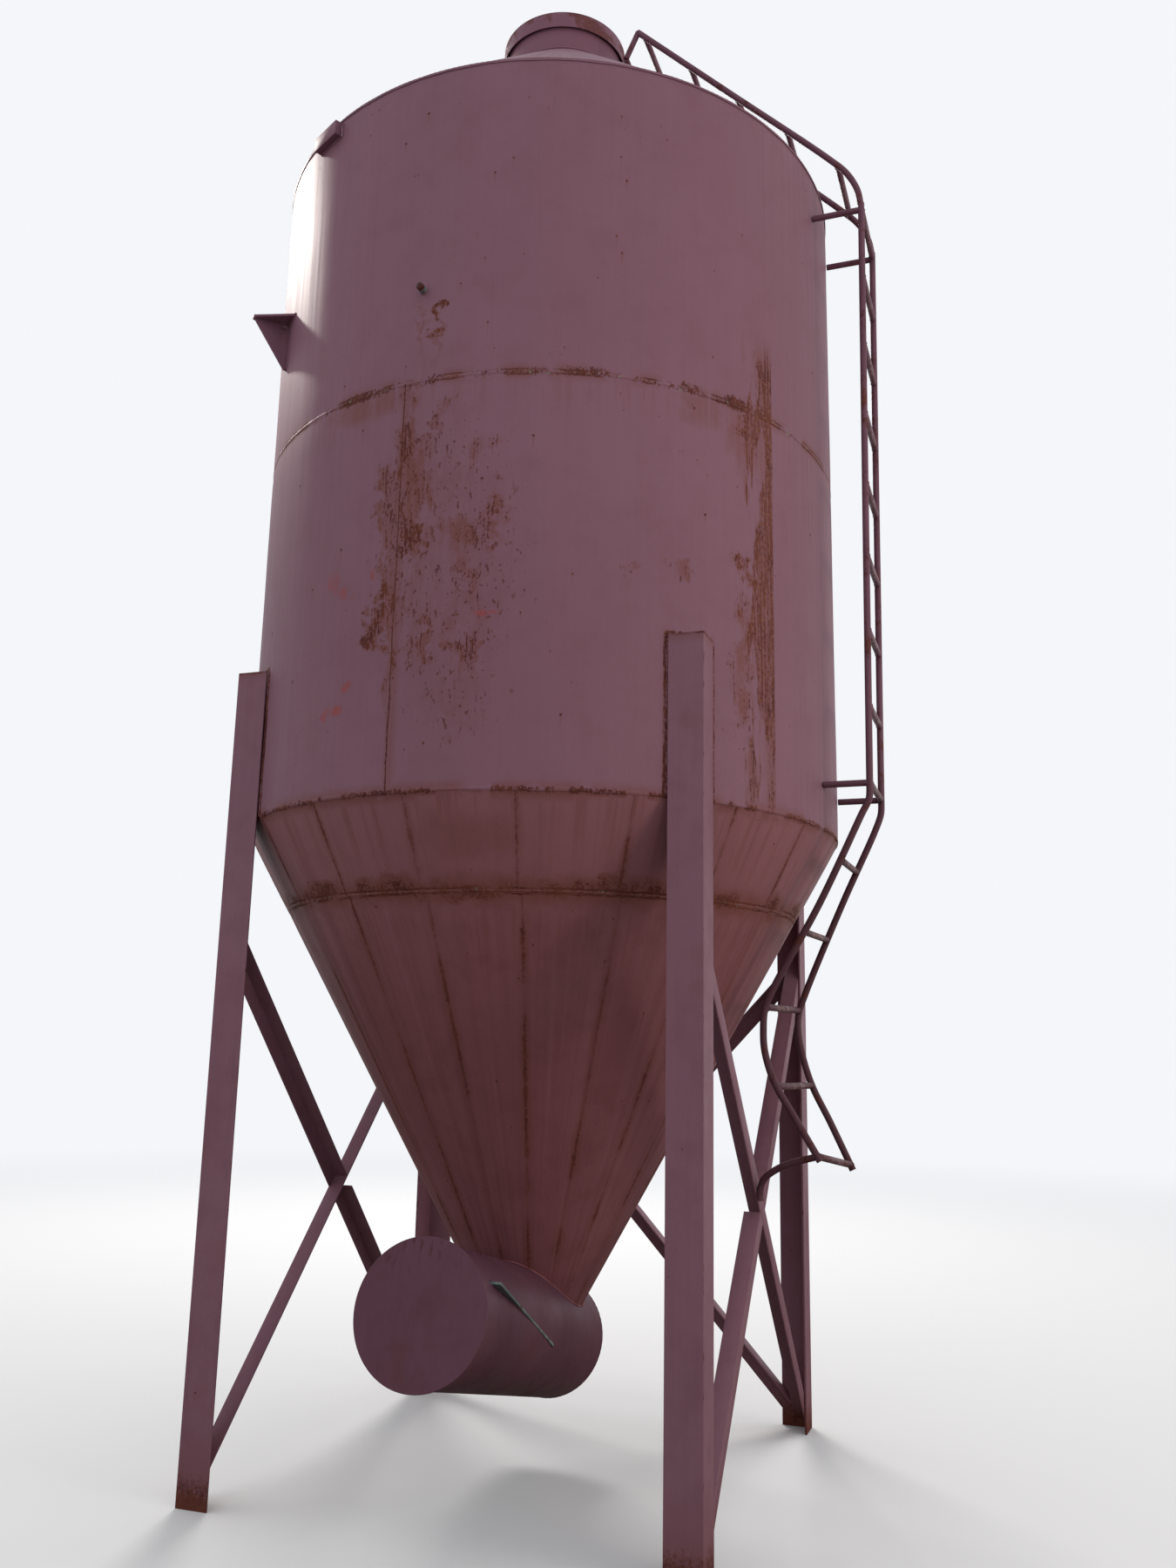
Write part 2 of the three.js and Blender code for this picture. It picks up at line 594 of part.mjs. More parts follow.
function addHopperRun() {
  addPiece(bin, 'ladder_hopper_run', hopperRun(0).intersect(between(0, WALL_RUN_END_Z - GAP)), PAINT_DARK);
  const pieces = footPipe(FOOT_PIPE_R).subtract(hopperRun(2 * GAP)).decompose();
  const longest = pieces.sort((a, b) => b.volume() - a.volume())[0];
  addPiece(bin, 'ladder_foot_stay', longest, PAINT_DARK);
}

function addLugs() {
  const wall = solid(uprightRod(BIN_R + GAP, WALL_BOTTOM_Z, EAVE_Z, FINE_ROUND_STEPS));
  const tipY = -BIN_R - LUG_REACH;
  const rootY = -BIN_R + LUG_T;
  const plate = slab(
    outline([
      [-LUG_HALF_WIDTH, rootY], [-LUG_TIP_HALF_WIDTH, tipY],
      [LUG_TIP_HALF_WIDTH, tipY], [LUG_HALF_WIDTH, rootY],
    ]),
    LUG_T,
  );
  plate.translate(0, 0, LUG_Z - LUG_T);
  const gusset = slab(
    outline([
      [-BIN_R + LUG_T, LUG_Z - LUG_T / 2], [tipY + LUG_T, LUG_Z - LUG_T / 2],
      [tipY + LUG_T, LUG_Z - 2 * LUG_T], [-BIN_R - LUG_T, LUG_Z - LUG_GUSSET_DROP],
      [-BIN_R + LUG_T, LUG_Z - LUG_GUSSET_DROP],
    ]),
    LUG_T,
  );
  gusset.applyMatrix4(new THREE.Matrix4().makeBasis(
    new THREE.Vector3(0, 1, 0), new THREE.Vector3(0, 0, 1), new THREE.Vector3(1, 0, 0),
  ));
  gusset.translate(-LUG_T / 2, 0, 0);
  const cope = new THREE.CylinderGeometry(LUG_COPE_R, LUG_COPE_R, 4 * LUG_T, COPE_STEPS);
  cope.rotateZ(Math.PI / 2);
  cope.translate(0, -BIN_R - LUG_COPE_R - LUG_T, LUG_Z - LUG_T - LUG_COPE_R);
  const lug = solid(plate).add(solid(gusset).subtract(solid(cope))).subtract(wall);
  for (const [name, azimuth] of Object.entries(LUG_AZIMUTHS)) {
    addPiece(bin, name, lug, PAINT).rotation.z = radians(azimuth);
  }
}

function addEaveBracket() {
  const half = EAVE_BRACKET_LENGTH / 2;
  const face = -BIN_R - EAVE_BRACKET_REACH;
  const low = EAVE_BRACKET_TOP_Z - EAVE_BRACKET_HEIGHT;
  const middleZ = (EAVE_BRACKET_TOP_Z + low) / 2;
  const depth = EAVE_BRACKET_REACH + EAVE_BRACKET_T;
  const front = new THREE.BoxGeometry(EAVE_BRACKET_LENGTH, EAVE_BRACKET_T, EAVE_BRACKET_HEIGHT);
  front.translate(0, face + EAVE_BRACKET_T / 2, middleZ);
  const shelf = new THREE.BoxGeometry(EAVE_BRACKET_LENGTH, depth, EAVE_BRACKET_T);
  shelf.translate(0, face + depth / 2, low + EAVE_BRACKET_T / 2);
  const web = new THREE.BoxGeometry(EAVE_BRACKET_T, depth, EAVE_BRACKET_HEIGHT);
  web.translate(half - EAVE_BRACKET_T / 2, face + depth / 2, middleZ);
  const otherWeb = web.clone().translate(EAVE_BRACKET_T - EAVE_BRACKET_LENGTH, 0, 0);
  const wall = solid(uprightRod(BIN_R + GAP, WALL_BOTTOM_Z, EAVE_Z, FINE_ROUND_STEPS));
  const body = solid(front).add(solid(shelf)).add(solid(web)).add(solid(otherWeb)).subtract(wall);
  addPiece(bin, 'eave_bracket', body, PAINT).rotation.z = radians(EAVE_BRACKET_AZIMUTH);
}

function addPeg() {
  const peg = new THREE.CylinderGeometry(PEG_R, PEG_R, PEG_LENGTH, PEG_SIDES);
  peg.translate(0, -BIN_R - GAP - PEG_LENGTH / 2, PEG_Z);
  addPiece(bin, 'wall_peg', peg, PAINT_DARK).rotation.z = radians(PEG_AZIMUTH);
}

placeBoot();
bin.add(boot);
addWall();
addHopper();
addRoof();
addHatchCollar();
addHatchLid();
addHatchHinge();
addLegs();
addBraces();
addBoot();
addRoofRun();
addWallRun();
addHopperRun();
addLugs();
addEaveBracket();
addPeg();

// The footprint runs from the wall on the left to the ladder on the right, and from the peg back
const ladderReach = Math.max(...ROOF_STILE.map(([x]) => x)) + STILE_R;
bin.position.x = (BIN_R - ladderReach) / 2;
bin.position.y = (GAP + PEG_LENGTH) / 2;

const silo = new THREE.Group();
silo.add(bin);

export default silo;
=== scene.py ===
# Grain silo, dressed: a welded, rusting hopper bin on angle-iron legs, with a boot and a ladder.
# Metres, +Z up. The open bay faces -Y and the ladder is on the +X side. An azimuth is in degrees
# about the bin's own axis, 0 at the front and turning towards +X.
import math
import random

import bmesh
import bpy
from mathutils import Matrix, Vector, noise


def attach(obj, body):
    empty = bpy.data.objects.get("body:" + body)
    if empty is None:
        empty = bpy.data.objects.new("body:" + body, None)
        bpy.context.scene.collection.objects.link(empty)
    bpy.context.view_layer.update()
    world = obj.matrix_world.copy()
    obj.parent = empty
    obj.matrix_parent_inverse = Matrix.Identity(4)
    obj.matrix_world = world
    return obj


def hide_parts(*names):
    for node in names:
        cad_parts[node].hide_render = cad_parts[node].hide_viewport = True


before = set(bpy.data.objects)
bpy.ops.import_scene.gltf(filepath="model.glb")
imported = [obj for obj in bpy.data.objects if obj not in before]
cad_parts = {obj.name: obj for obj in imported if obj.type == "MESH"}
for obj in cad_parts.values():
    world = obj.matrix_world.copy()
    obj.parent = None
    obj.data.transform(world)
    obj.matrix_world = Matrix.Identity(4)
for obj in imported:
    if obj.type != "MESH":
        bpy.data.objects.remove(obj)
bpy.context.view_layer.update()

# Bin: its axis, outside radius, plate thickness and the levels of its seams
AXIS = Vector((-0.102175, 0.01715, 0.0))
BIN_R = 1.225
PLATE_T = 0.005
GAP = 0.0003
CONE_BOTTOM_Z = 0.56
CONE_SEAM_Z = 2.09
WALL_BOTTOM_Z = 2.407
WALL_SEAM_Z = 3.922
EAVE_Z = 5.209
HOPPER_ANGLE = 29.4
ROOF_ANGLE = 42.9
HOPPER_RUN = math.tan(math.radians(HOPPER_ANGLE))
ROOF_RISE = math.tan(math.radians(ROOF_ANGLE))
HOPPER_T_ACROSS = PLATE_T / math.cos(math.radians(HOPPER_ANGLE))
ROOF_T_UPRIGHT = PLATE_T / math.cos(math.radians(ROOF_ANGLE))

# Seams between the plates of a course
PLATES = 3
PLATE_SWEEP = 360.0 / PLATES
LOWER_WALL_SEAM = -4.8
UPPER_WALL_SEAM = 62.5
UPPER_CONE_SEAM = 16.8
LOWER_CONE_SEAM = -24.0
ROOF_SEAM = 100.0
GORES = 19
LOWER_CREASE_LINE = 17.5

# How finely the plates are divided, and how far they wander from true
WALL_COLUMNS = 96
WALL_ROWS = 22
CONE_ROWS = 10
ROOF_ROWS = 12
SKIN_SINK = 0.0020
WALL_WAVE = 0.0032
WALL_WAVE_SIZE = 0.55
FINE_WAVE = 0.4
FINE_WAVE_RATIO = 2.7
SEAM_PULL = 0.0016
SEAM_PULL_REACH = 0.05
HOPPER_WAVE = 0.0016
HOPPER_WAVES_A_METRE = 2.2
ROOF_WAVE = 0.003
ROOF_WAVES_A_METRE = 2.4
NEAR_SEAM = [0.0, 0.012, 0.03, 0.06]
COLUMN_SWEEP = 1.3
FACET_MIN = 3.6
FACET_MAX = 8.5
FACET_FLATNESS = 0.85
CREASE_HALF_WIDTH = 0.35

# Hatch
COLLAR_R = 0.276
COLLAR_T = 0.005
COLLAR_BELOW_ROOF = 0.014
LID_R = 0.291
LID_T = 0.003
LID_TOP_Z = 6.277
LID_SKIRT_Z = 6.193
LID_CLEARANCE = 0.006
LID_EDGE_R = 0.006
LID_CROWN = 0.004
LID_WORN_HEIGHT = 0.004
LID_WORN_WIDTH = 0.002
LID_CROWN_SHARES = (0.0001, 0.25, 0.5, 0.72, 0.9)
LID_SKIRT_MIDDLE_Z = 6.235
LID_SKIRT_EDGE = 0.001
HINGE_X = -0.316
HINGE_Z = 6.190
HINGE_PIN_R = 0.006
HINGE_PIN_LENGTH = 0.104
KNUCKLE_R = 0.013
KNUCKLE_HALF_WIDTH = 0.033
KNUCKLE_EDGE = 0.001
HINGE_BORE_R = 0.0065
STRAP_OUTLINE = [(-0.312, 6.184), (-0.299, 6.202), (-0.2915, 6.214), (-0.2915, 6.262), (-0.299, 6.262),
                 (-0.322, 6.200)]
ROUND_STEPS = 96
HINGE_STEPS = 32

# Legs
LEG_WIDTH = 0.127
LEG_T = 0.0095
LEG_TOP_Z = 2.977
LEG_ROOT_R = 0.011
LEG_TOE_R = 0.005
LEG_CORNER = (LEG_WIDTH + LEG_T + math.sqrt(2 * (BIN_R + GAP) ** 2 - (LEG_WIDTH - LEG_T) ** 2)) / 2
LEG_ROWS = 40
LEG_HEEL_R = 0.002
LEG_EDGE_R = 0.0008
LEG_SIDES = {"front_left": (-1, -1), "front_right": (1, -1), "back_right": (1, 1), "back_left": (-1, 1)}
LEG_SHARP_ANGLE = math.radians(35)

# Boot, in its own frame: +Y runs back along the barrel from its front end
BOOT_R = 0.2286
BOOT_T = 0.004
BOOT_LENGTH = 1.215
BOOT_FRONT = Vector((0.0, -0.999, 0.713))
BOOT_TILT = 13.5
BOOT_LID_R = 0.240
BOOT_LID_T = 0.006
BOOT_END_T = 0.005
BOOT_EDGE_R = 0.0015
BOOT_WORN_WIDTH = 0.004
BARREL_ROWS = 30
SLOT_START = 0.086
SLOT_END = 0.670
SLOT_START_RISE = 0.121
SLOT_END_RISE = -0.047
SLIDE_T = 0.010
SLOT_TILT = math.atan2(SLOT_START_RISE - SLOT_END_RISE, SLOT_END - SLOT_START)

# Ladder: the stiles' points as (x from the bin's axis, z), and the foot pipe's as (y, x, z)
STILE_R = 0.0132
STILE_INSET = 0.0030
RUNG_R = 0.0126
LADDER_HALF_WIDTH = 0.180
RUNG_PITCH = 0.305
ROOF_RUN_END_Z = 5.040
WALL_RUN_END_Z = 2.540
LOWEST_WALL_RUNG_Z = 2.575
WALL_RUNGS = 9
STANDOFF_LEVELS = [2.575, 5.010]
ROOF_RUNGS = 5
FIRST_ROOF_RUNG = 0.050
STRUT_FOOT_X = 0.372
ROOF_STILE = [(0.432, 6.145), (0.860, 5.712), (1.285, 5.282), (1.358, 5.197), (1.402, 5.105), (1.416, 5.020)]
WALL_STILE = [(1.416, 5.060), (1.387, 2.520)]
HOPPER_STILE_FRONT = [
    (1.387, 2.560), (1.384, 2.515), (1.352, 2.450), (1.190, 2.120), (1.012, 1.806), (0.979, 1.730),
    (0.972, 1.654), (0.976, 1.575), (1.010, 1.463), (1.084, 1.337), (1.176, 1.185)]
HOPPER_STILE_BACK = [
    (1.387, 2.560), (1.385, 2.520), (1.364, 2.460), (1.222, 2.156), (1.064, 1.791), (1.040, 1.720),
    (1.038, 1.646), (1.054, 1.555), (1.090, 1.442), (1.157, 1.308), (1.241, 1.131)]
HOPPER_RUNG_LEVELS = [2.285, 2.015, 1.735, 1.445]
BOTTOM_RUNG = [(1.166, 1.202), (1.232, 1.150)]
FOOT_PIPE = [(-0.180, 1.166, 1.202), (-0.158, 1.080, 1.178), (-0.140, 1.010, 1.150), (-0.120, 0.955, 1.110),
             (-0.106, 0.937, 1.072), (-0.100, 0.935, 1.030)]
PIPE_SIDES = 18
ROUTE_STEPS = 12

# Welds
BEAD_R = 0.008
BEAD_FLATNESS = 0.34
BEAD_SINK = 0.0012
FLUSH_BEAD_FLATNESS = 0.16
BEAD_PITCH = 0.008
BEAD_SIDES = 8
BEAD_RIPPLE = 0.12
BEAD_LUMP = 0.35
BEAD_RIPPLE_TURN = 2.2
BEAD_LUMPS_A_METRE = 9.0
BEAD_SHARP_ANGLE = math.radians(60)
GIRTH_POINTS = 240
RING_POINTS = 120
PEG_WELD_POINTS = 24
ON_WALL = 0.0005
WALL_FOOT_WELD_RISE = 0.003
LOWER_CONE_WELD_END_Z = 1.0
BOOT_SEAM_POINTS = 180
BOOT_SEAM_LEVELS = 400
BOOT_SEAM_STEP = 0.005
HALVINGS = 20
SMALL_BEAD_R = 0.0045
SMALL_BEAD_FLATNESS = 0.50
FITTING_BEAD_R = SMALL_BEAD_R * 0.8
BOOT_BEAD_R = SMALL_BEAD_R * 0.6
EAVE_BEAD_R = 0.0035
EAVE_BEAD_INSET = EAVE_BEAD_R * 1.5
RUNG_WELD_R = 0.0024
RUNG_WELD_PITCH = 0.004
RUNG_WELD_POINTS = 14

# Small things on the wall
LUG_AZIMUTHS = [-45.0, 135.0]
LUG_Z = 4.505
LUG_T = 0.010
LUG_HALF_WIDTH = 0.100
LUG_GUSSET_TOP_DROP = 0.035
LUG_GUSSET_DROP = 0.209
EAVE_BRACKET_AZIMUTH = -28.5
EAVE_BRACKET_LENGTH = 0.158
EAVE_BRACKET_HEIGHT = 0.060
EAVE_BRACKET_TOP_Z = 5.190
PEG_AZIMUTH = -2.4
PEG_Z = 4.285
PEG_R = 0.014

# Camera, from the bin's axis: place, then the way it looks in degrees
CAMERA_PLACE = Vector((1.980, -5.0225, 1.557))
CAMERA_YAW = -19.622
CAMERA_PITCH = 11.769
CAMERA_ROLL = 1.086
CAMERA_LENS = 29.544
CAMERA_FILM = 36.0
CAMERA_REACH = 200.0

# Stage and lamps
FLOOR_RINGS = [1.5, 4.0, 8.0, 16.0, 32.0, 90.0]
FLOOR_STEPS = 96
FLOOR_COLOR = (0.66, 0.66, 0.66, 1.0)
FLOOR_BOUNCE = (0.16, 0.14, 0.12, 1.0)
FADE_START = 5.0
FADE_END = 17.0
SKY_COLOR = (0.955, 0.970, 1.0, 1.0)
SKY_STRENGTH = 0.95
KEY_PLACE = Vector((-4.6, 9.0, 10.2))
KEY_SIZE = 4.5
KEY_POWER = 1000.0
KEY_COLOR = (1.0, 0.965, 0.93)
FILL_PLACE = Vector((10.0, -1.9, 2.7))
FILL_SIZE = 4.4
FILL_POWER = 102.0
FILL_SPREAD = math.radians(110.0)
FILL_COLOR = (1.0, 0.865, 0.73)
SUN_PLACE = Vector((-9.6, 3.5, 11.9))
SUN_AIM = Vector((-0.9, -0.3, 5.10))
SUN_SIZE = 1.0
SUN_POWER = 14.0
SUN_COLOR = (1.0, 0.95, 0.88)
SUN_SPREAD = math.radians(14.0)
LAMP_AIM = Vector((-0.1, 0.0, 3.2))

# Shared: angles, the distance within which points are one, small overlaps and eased edges
SHARP_ANGLE = math.radians(28)
FLAT_ANGLE = math.radians(1)
MERGE = 1e-5
TOUCH = 0.001
ROLLED_EDGE = 0.0016
SMALL_EDGE = 0.0012
HEIGHT_TO_Y = Matrix.Rotation(math.radians(-90), 4, "X")

# Weathered paint and rust throw back less sheen than clean paint
GLOSS = 0.14

# Colours, as linear light
WALL_ROSE = (0.187, 0.087, 0.118, 1.0)
WALL_CHALK = (0.215, 0.106, 0.141, 1.0)
WALL_DEEP = (0.158, 0.066, 0.088, 1.0)
# Painted shade: the fittings' rose is a darker copy of the wall's.
FITTING_SHADED_ROSE = (0.158, 0.068, 0.098, 1.0)
# Painted shade: the hopper's colours are darker, redder copies of the wall's paint, for the shade and warm
# ground bounce under the bin.
HOPPER_SHADED_RED = (0.192, 0.069, 0.079, 1.0)
HOPPER_SHADED_CHALK = (0.258, 0.114, 0.132, 1.0)
HOPPER_SHADED_DEEP = (0.115, 0.035, 0.040, 1.0)
FRAME_RED = (0.190, 0.089, 0.120, 1.0)
FRAME_CHALK = (0.222, 0.114, 0.145, 1.0)
FRAME_DEEP = (0.140, 0.058, 0.077, 1.0)
BOOT_RED = (0.104, 0.041, 0.062, 1.0)
BOOT_CHALK = (0.130, 0.058, 0.080, 1.0)
BOOT_DEEP = (0.066, 0.022, 0.028, 1.0)
LADDER_RED = (0.122, 0.048, 0.073, 1.0)
LADDER_CHALK = (0.180, 0.088, 0.115, 1.0)
LADDER_DEEP = (0.062, 0.024, 0.029, 1.0)
RUBBED_PINK = (0.250, 0.165, 0.175, 1.0)
RUST_DARK = (0.058, 0.013, 0.010, 1.0)
RUST_BROWN = (0.106, 0.029, 0.016, 1.0)
RUST_ORANGE = (0.182, 0.060, 0.024, 1.0)
RUST_STAIN = (0.150, 0.047, 0.035, 1.0)
HOPPER_STAIN = (0.146, 0.046, 0.034, 1.0)
SCUFF_RED = (0.250, 0.055, 0.058, 1.0)
WELD_GREY = (0.185, 0.175, 0.140, 1.0)
BARE_GREY = (0.115, 0.150, 0.150, 1.0)
BARE_LIGHT = (0.190, 0.225, 0.220, 1.0)

# Blots of rust, tint and scuff: (azimuth, height, half width, half height, strength)
LOWER_SEAM_CRUST = [
    (-4.0, 3.46, 0.100, 0.34, 0.88), (-4.8, 3.05, 0.045, 0.42, 0.72), (-8.0, 3.42, 0.070, 0.28, 0.74),
    (-2.6, 3.34, 0.060, 0.12, 1.05), (-9.0, 2.99, 0.055, 0.11, 1.10), (-7.5, 3.16, 0.050, 0.12, 0.90),
    (1.7, 3.73, 0.040, 0.13, 0.72), (0.6, 3.45, 0.040, 0.12, 0.74), (6.2, 3.33, 0.150, 0.10, 0.72),
    (12.0, 3.35, 0.050, 0.15, 0.66), (1.0, 2.93, 0.040, 0.17, 0.80), (7.8, 2.89, 0.100, 0.11, 0.76),
    (8.0, 3.14, 0.120, 0.10, 0.66), (3.0, 3.22, 0.400, 0.72, 0.46), (7.0, 2.74, 0.220, 0.22, 0.46),
    (-0.8, 3.50, 0.080, 0.22, 0.66), (9.0, 3.62, 0.100, 0.14, 0.50)]
UPPER_SEAM_CRUST = [
    (57.0, 3.30, 0.060, 0.10, 0.98), (56.5, 3.06, 0.016, 0.09, 1.00), (42.5, 3.22, 0.070, 0.09, 0.62),
    (57.5, 3.86, 0.055, 0.09, 0.88), (55.8, 2.92, 0.075, 0.42, 0.62), (36.0, 3.22, 0.050, 0.06, 0.60),
    (0.8, 4.17, 0.036, 0.045, 1.15)]
FAR_SIDE_CRUST = [
    (176.0, 3.35, 0.16, 0.50, 0.78), (237.0, 3.05, 0.20, 0.55, 0.76), (-58.0, 4.45, 0.08, 0.45, 0.72),
    (118.0, 3.30, 0.14, 0.50, 0.80), (-95.0, 3.55, 0.22, 0.28, 0.60), (203.0, 4.40, 0.10, 0.34, 0.66)]
GIRTH_CRUST = [
    (27.0, 3.930, 0.17, 0.030, 1.0), (36.4, 3.926, 0.06, 0.024, 0.9), (44.8, 3.930, 0.09, 0.036, 1.0),
    (55.0, 3.930, 0.10, 0.046, 1.15), (62.0, 3.925, 0.07, 0.050, 1.1), (-15.0, 3.918, 0.24, 0.034, 1.0),
    (-2.0, 3.915, 0.10, 0.030, 0.8), (150.0, 3.92, 0.30, 0.04, 0.9), (215.0, 3.92, 0.25, 0.04, 0.9),
    (-75.0, 3.92, 0.30, 0.04, 0.8)]
PEG_AND_HALO_TINT = [
    (-2.4, 4.15, 0.014, 0.16, 0.7), (0.9, 4.08, 0.022, 0.13, 0.6), (-14.0, 3.87, 0.26, 0.075, 0.9),
    (47.0, 3.87, 0.12, 0.10, 0.7), (57.0, 3.80, 0.12, 0.20, 0.8), (-4.8, 3.86, 0.05, 0.08, 0.9)]
SCUFFS = [
    (9.8, 3.020, 0.050, 0.016, 1.0), (-18.6, 3.200, 0.034, 0.060, 0.6), (-16.0, 3.160, 0.020, 0.036, 0.8),
    (-10.5, 3.205, 0.026, 0.030, 0.8), (-14.8, 2.803, 0.040, 0.030, 1.0), (-14.6, 2.722, 0.044, 0.024, 1.1),
    (-18.0, 2.712, 0.034, 0.036, 0.9), (160.0, 3.30, 0.070, 0.020, 0.9),
    (-100.0, 3.00, 0.020, 0.040, 0.8)]
HOPPER_CRUST = [
    (-28.0, 2.105, 0.20, 0.050, 1.0), (-4.0, 2.090, 0.06, 0.040, 0.9), (8.0, 2.088, 0.15, 0.050, 1.0),
    (20.0, 2.085, 0.08, 0.034, 0.9), (33.5, 2.112, 0.10, 0.075, 0.95), (43.0, 2.085, 0.07, 0.030, 0.9),
    (8.0, 2.265, 0.26, 0.120, 0.36), (-21.0, 2.400, 0.09, 0.028, 0.9), (60.0, 2.09, 0.16, 0.030, 0.8),
    (100.0, 2.09, 0.2, 0.04, 0.9), (190.0, 2.09, 0.22, 0.04, 0.9), (-110.0, 2.10, 0.2, 0.04, 0.9)]

# How wide a seam's own rust lies, measured from the middle of its bead
TOE = 0.0085
TOE_WIDTH = 0.0042

# The legs as the paint knows them: the azimuth of one, and how far its toes lie to either side
FIRST_LEG = 45.0
LEGS = 4
LEG_REACH = 0.0898

# The rust run beside the upper wall seam: degrees past the seam, then how wide it may reach
STREAK_START = 1.4
STREAK_REACH = (0.080, 0.200)


def heading(azimuth):
    angle = math.radians(azimuth)
    return Vector((math.sin(angle), -math.cos(angle), 0.0))


def on_bin(radius, azimuth, z):
    return AXIS + heading(azimuth) * radius + Vector((0.0, 0.0, z))


def hopper_r(z):
    return BIN_R - (WALL_BOTTOM_Z - z) * HOPPER_RUN


def roof_z(radius):
    return EAVE_Z + (BIN_R - radius) * ROOF_RISE


def spread(low, high, count):
    """Evenly spaced values from one to the other, both among them."""
    return [low + (high - low) * k / count for k in range(count + 1)]


def circle(radius, count):
    """Evenly spaced (x, y) points round a circle."""
    angles = [2 * math.pi * k / count for k in range(count)]
    return [(radius * math.cos(a), radius * math.sin(a)) for a in angles]


# Making meshes

def add_piece(name, mesh):
    piece = bpy.data.objects.new(name, mesh)
    bpy.context.scene.collection.objects.link(piece)
    return piece


def add_mesh(name, points, faces, edges=()):
    mesh = bpy.data.meshes.new(name)
    mesh.from_pydata([tuple(p) for p in points], list(edges), faces)
    mesh.update()
    return add_piece(name, mesh)


def rework(mesh, step):
    """Opens a mesh, works on it with the step given and closes it again."""
    tool = bmesh.new()
    tool.from_mesh(mesh)
    step(tool)
    tool.to_mesh(mesh)
    tool.free()
    mesh.update()


def turn_out(tool):
    bmesh.ops.recalc_face_normals(tool, faces=tool.faces)


def close_up(tool):
    """Merges doubles, drops empty faces and turns every face outwards."""
    bmesh.ops.remove_doubles(tool, verts=tool.verts, dist=MERGE)
    bmesh.ops.dissolve_degenerate(tool, edges=tool.edges, dist=MERGE / 2)
    turn_out(tool)


def ease(tool, edge, segments=2):
    """Rounds all sharp edges off, and gives the faces that this makes."""
    sharp = [e for e in tool.edges if e.is_manifold and e.calc_face_angle(0.0) > SHARP_ANGLE]
    made = bmesh.ops.bevel(
        tool, geom=sharp, offset=edge, segments=segments, profile=0.5, affect="EDGES", clamp_overlap=True)
    return made["faces"]


def finish(piece, material, nodes=(), body="silo", angle=SHARP_ANGLE):
    """Gives a made piece its paint and its body, and hides the plain solids that it stands for.

    The plain solids have paints of these names too, so a new paint's name may end in a point and a
    number.
    """
    piece.data.shade_smooth()
    piece.data.set_sharp_from_angle(angle=angle)
    piece.data.materials.clear()
    piece.data.materials.append(material)
    if nodes:
        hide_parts(*nodes)
    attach(piece, body)


def settle(piece):
    """Turns the piece and its modifiers into one plain mesh."""
    graph = bpy.context.evaluated_depsgraph_get()
    mesh = bpy.data.meshes.new_from_object(piece.evaluated_get(graph))
    mesh.name = piece.name
    piece.modifiers.clear()
    piece.data = mesh


def cut(piece, *tools):
    for tool in tools:
        step = piece.modifiers.new("cut", "BOOLEAN")
        step.operation = "DIFFERENCE"
        step.solver = "EXACT"
        step.object = tool
    settle(piece)
    for tool in tools:
        bpy.data.objects.remove(tool)


def ring_faces(count, rings, closed=False):
    """Faces of a skin made of rings of points; closed joins the last ring to the first."""
    faces = []
    for ring in range(rings if closed else rings - 1):
        low = ring * count
        high = (ring + 1) % rings * count
        for k in range(count):
            after = (k + 1) % count
            faces.append((low + k, high + k, high + after, low + after))
    return faces


def turned(name, profile, steps, place):
    """A closed outline of (radius, height) points turned about the z axis, then put in place."""
    points = []
    for x, y in circle(1.0, steps):
        points.extend(place @ Vector((radius * x, radius * y, height)) for radius, height in profile)
    piece = add_mesh(name, points, ring_faces(len(profile), steps, True))
    rework(piece.data, close_up)
    return piece


def rod_profile(radius, length, edge=0.0):
    """Half the outline of a round rod or disc with eased rims, its foot at height 0."""
    half = [(0.0, 0.0), (radius - edge, 0.0), (radius, edge)]
    return half + [(r, length - height) for r, height in reversed(half)]


def prism(name, corners):
    """A closed solid between two equal outlines, whose corners are given one after the other."""
    count = len(corners) // 2
    ends = [tuple(range(count)), tuple(range(count, 2 * count))]
    piece = add_mesh(name, corners, ends + ring_faces(count, 2))
    rework(piece.data, close_up)
    return piece


def mark_worn(piece, is_worn):
    """Marks the faces that lose their paint first."""
    layer = piece.data.attributes.new("worn_edge", "FLOAT", "FACE")
    for face in piece.data.polygons:
        layer.data[face.index].value = float(is_worn(face.center))


def dressed_copy(name, node, edge, material, segments=2):
    """A copy of a plain solid with its edges eased, the eased strips marked as worn."""
    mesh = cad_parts[node].data.copy()
    mesh.materials.clear()
    mesh.name = name

    def ease_and_mark(tool):
        bmesh.ops.remove_doubles(tool, verts=tool.verts, dist=MERGE)
        bmesh.ops.dissolve_limit(tool, angle_limit=FLAT_ANGLE, verts=tool.verts, edges=tool.edges)
        worn = tool.faces.layers.float.new("worn_edge")
        for face in ease(tool, edge, segments):
            face[worn] = 1.0

    rework(mesh, ease_and_mark)
    finish(add_piece(name, mesh), material, [node])


# Node trees

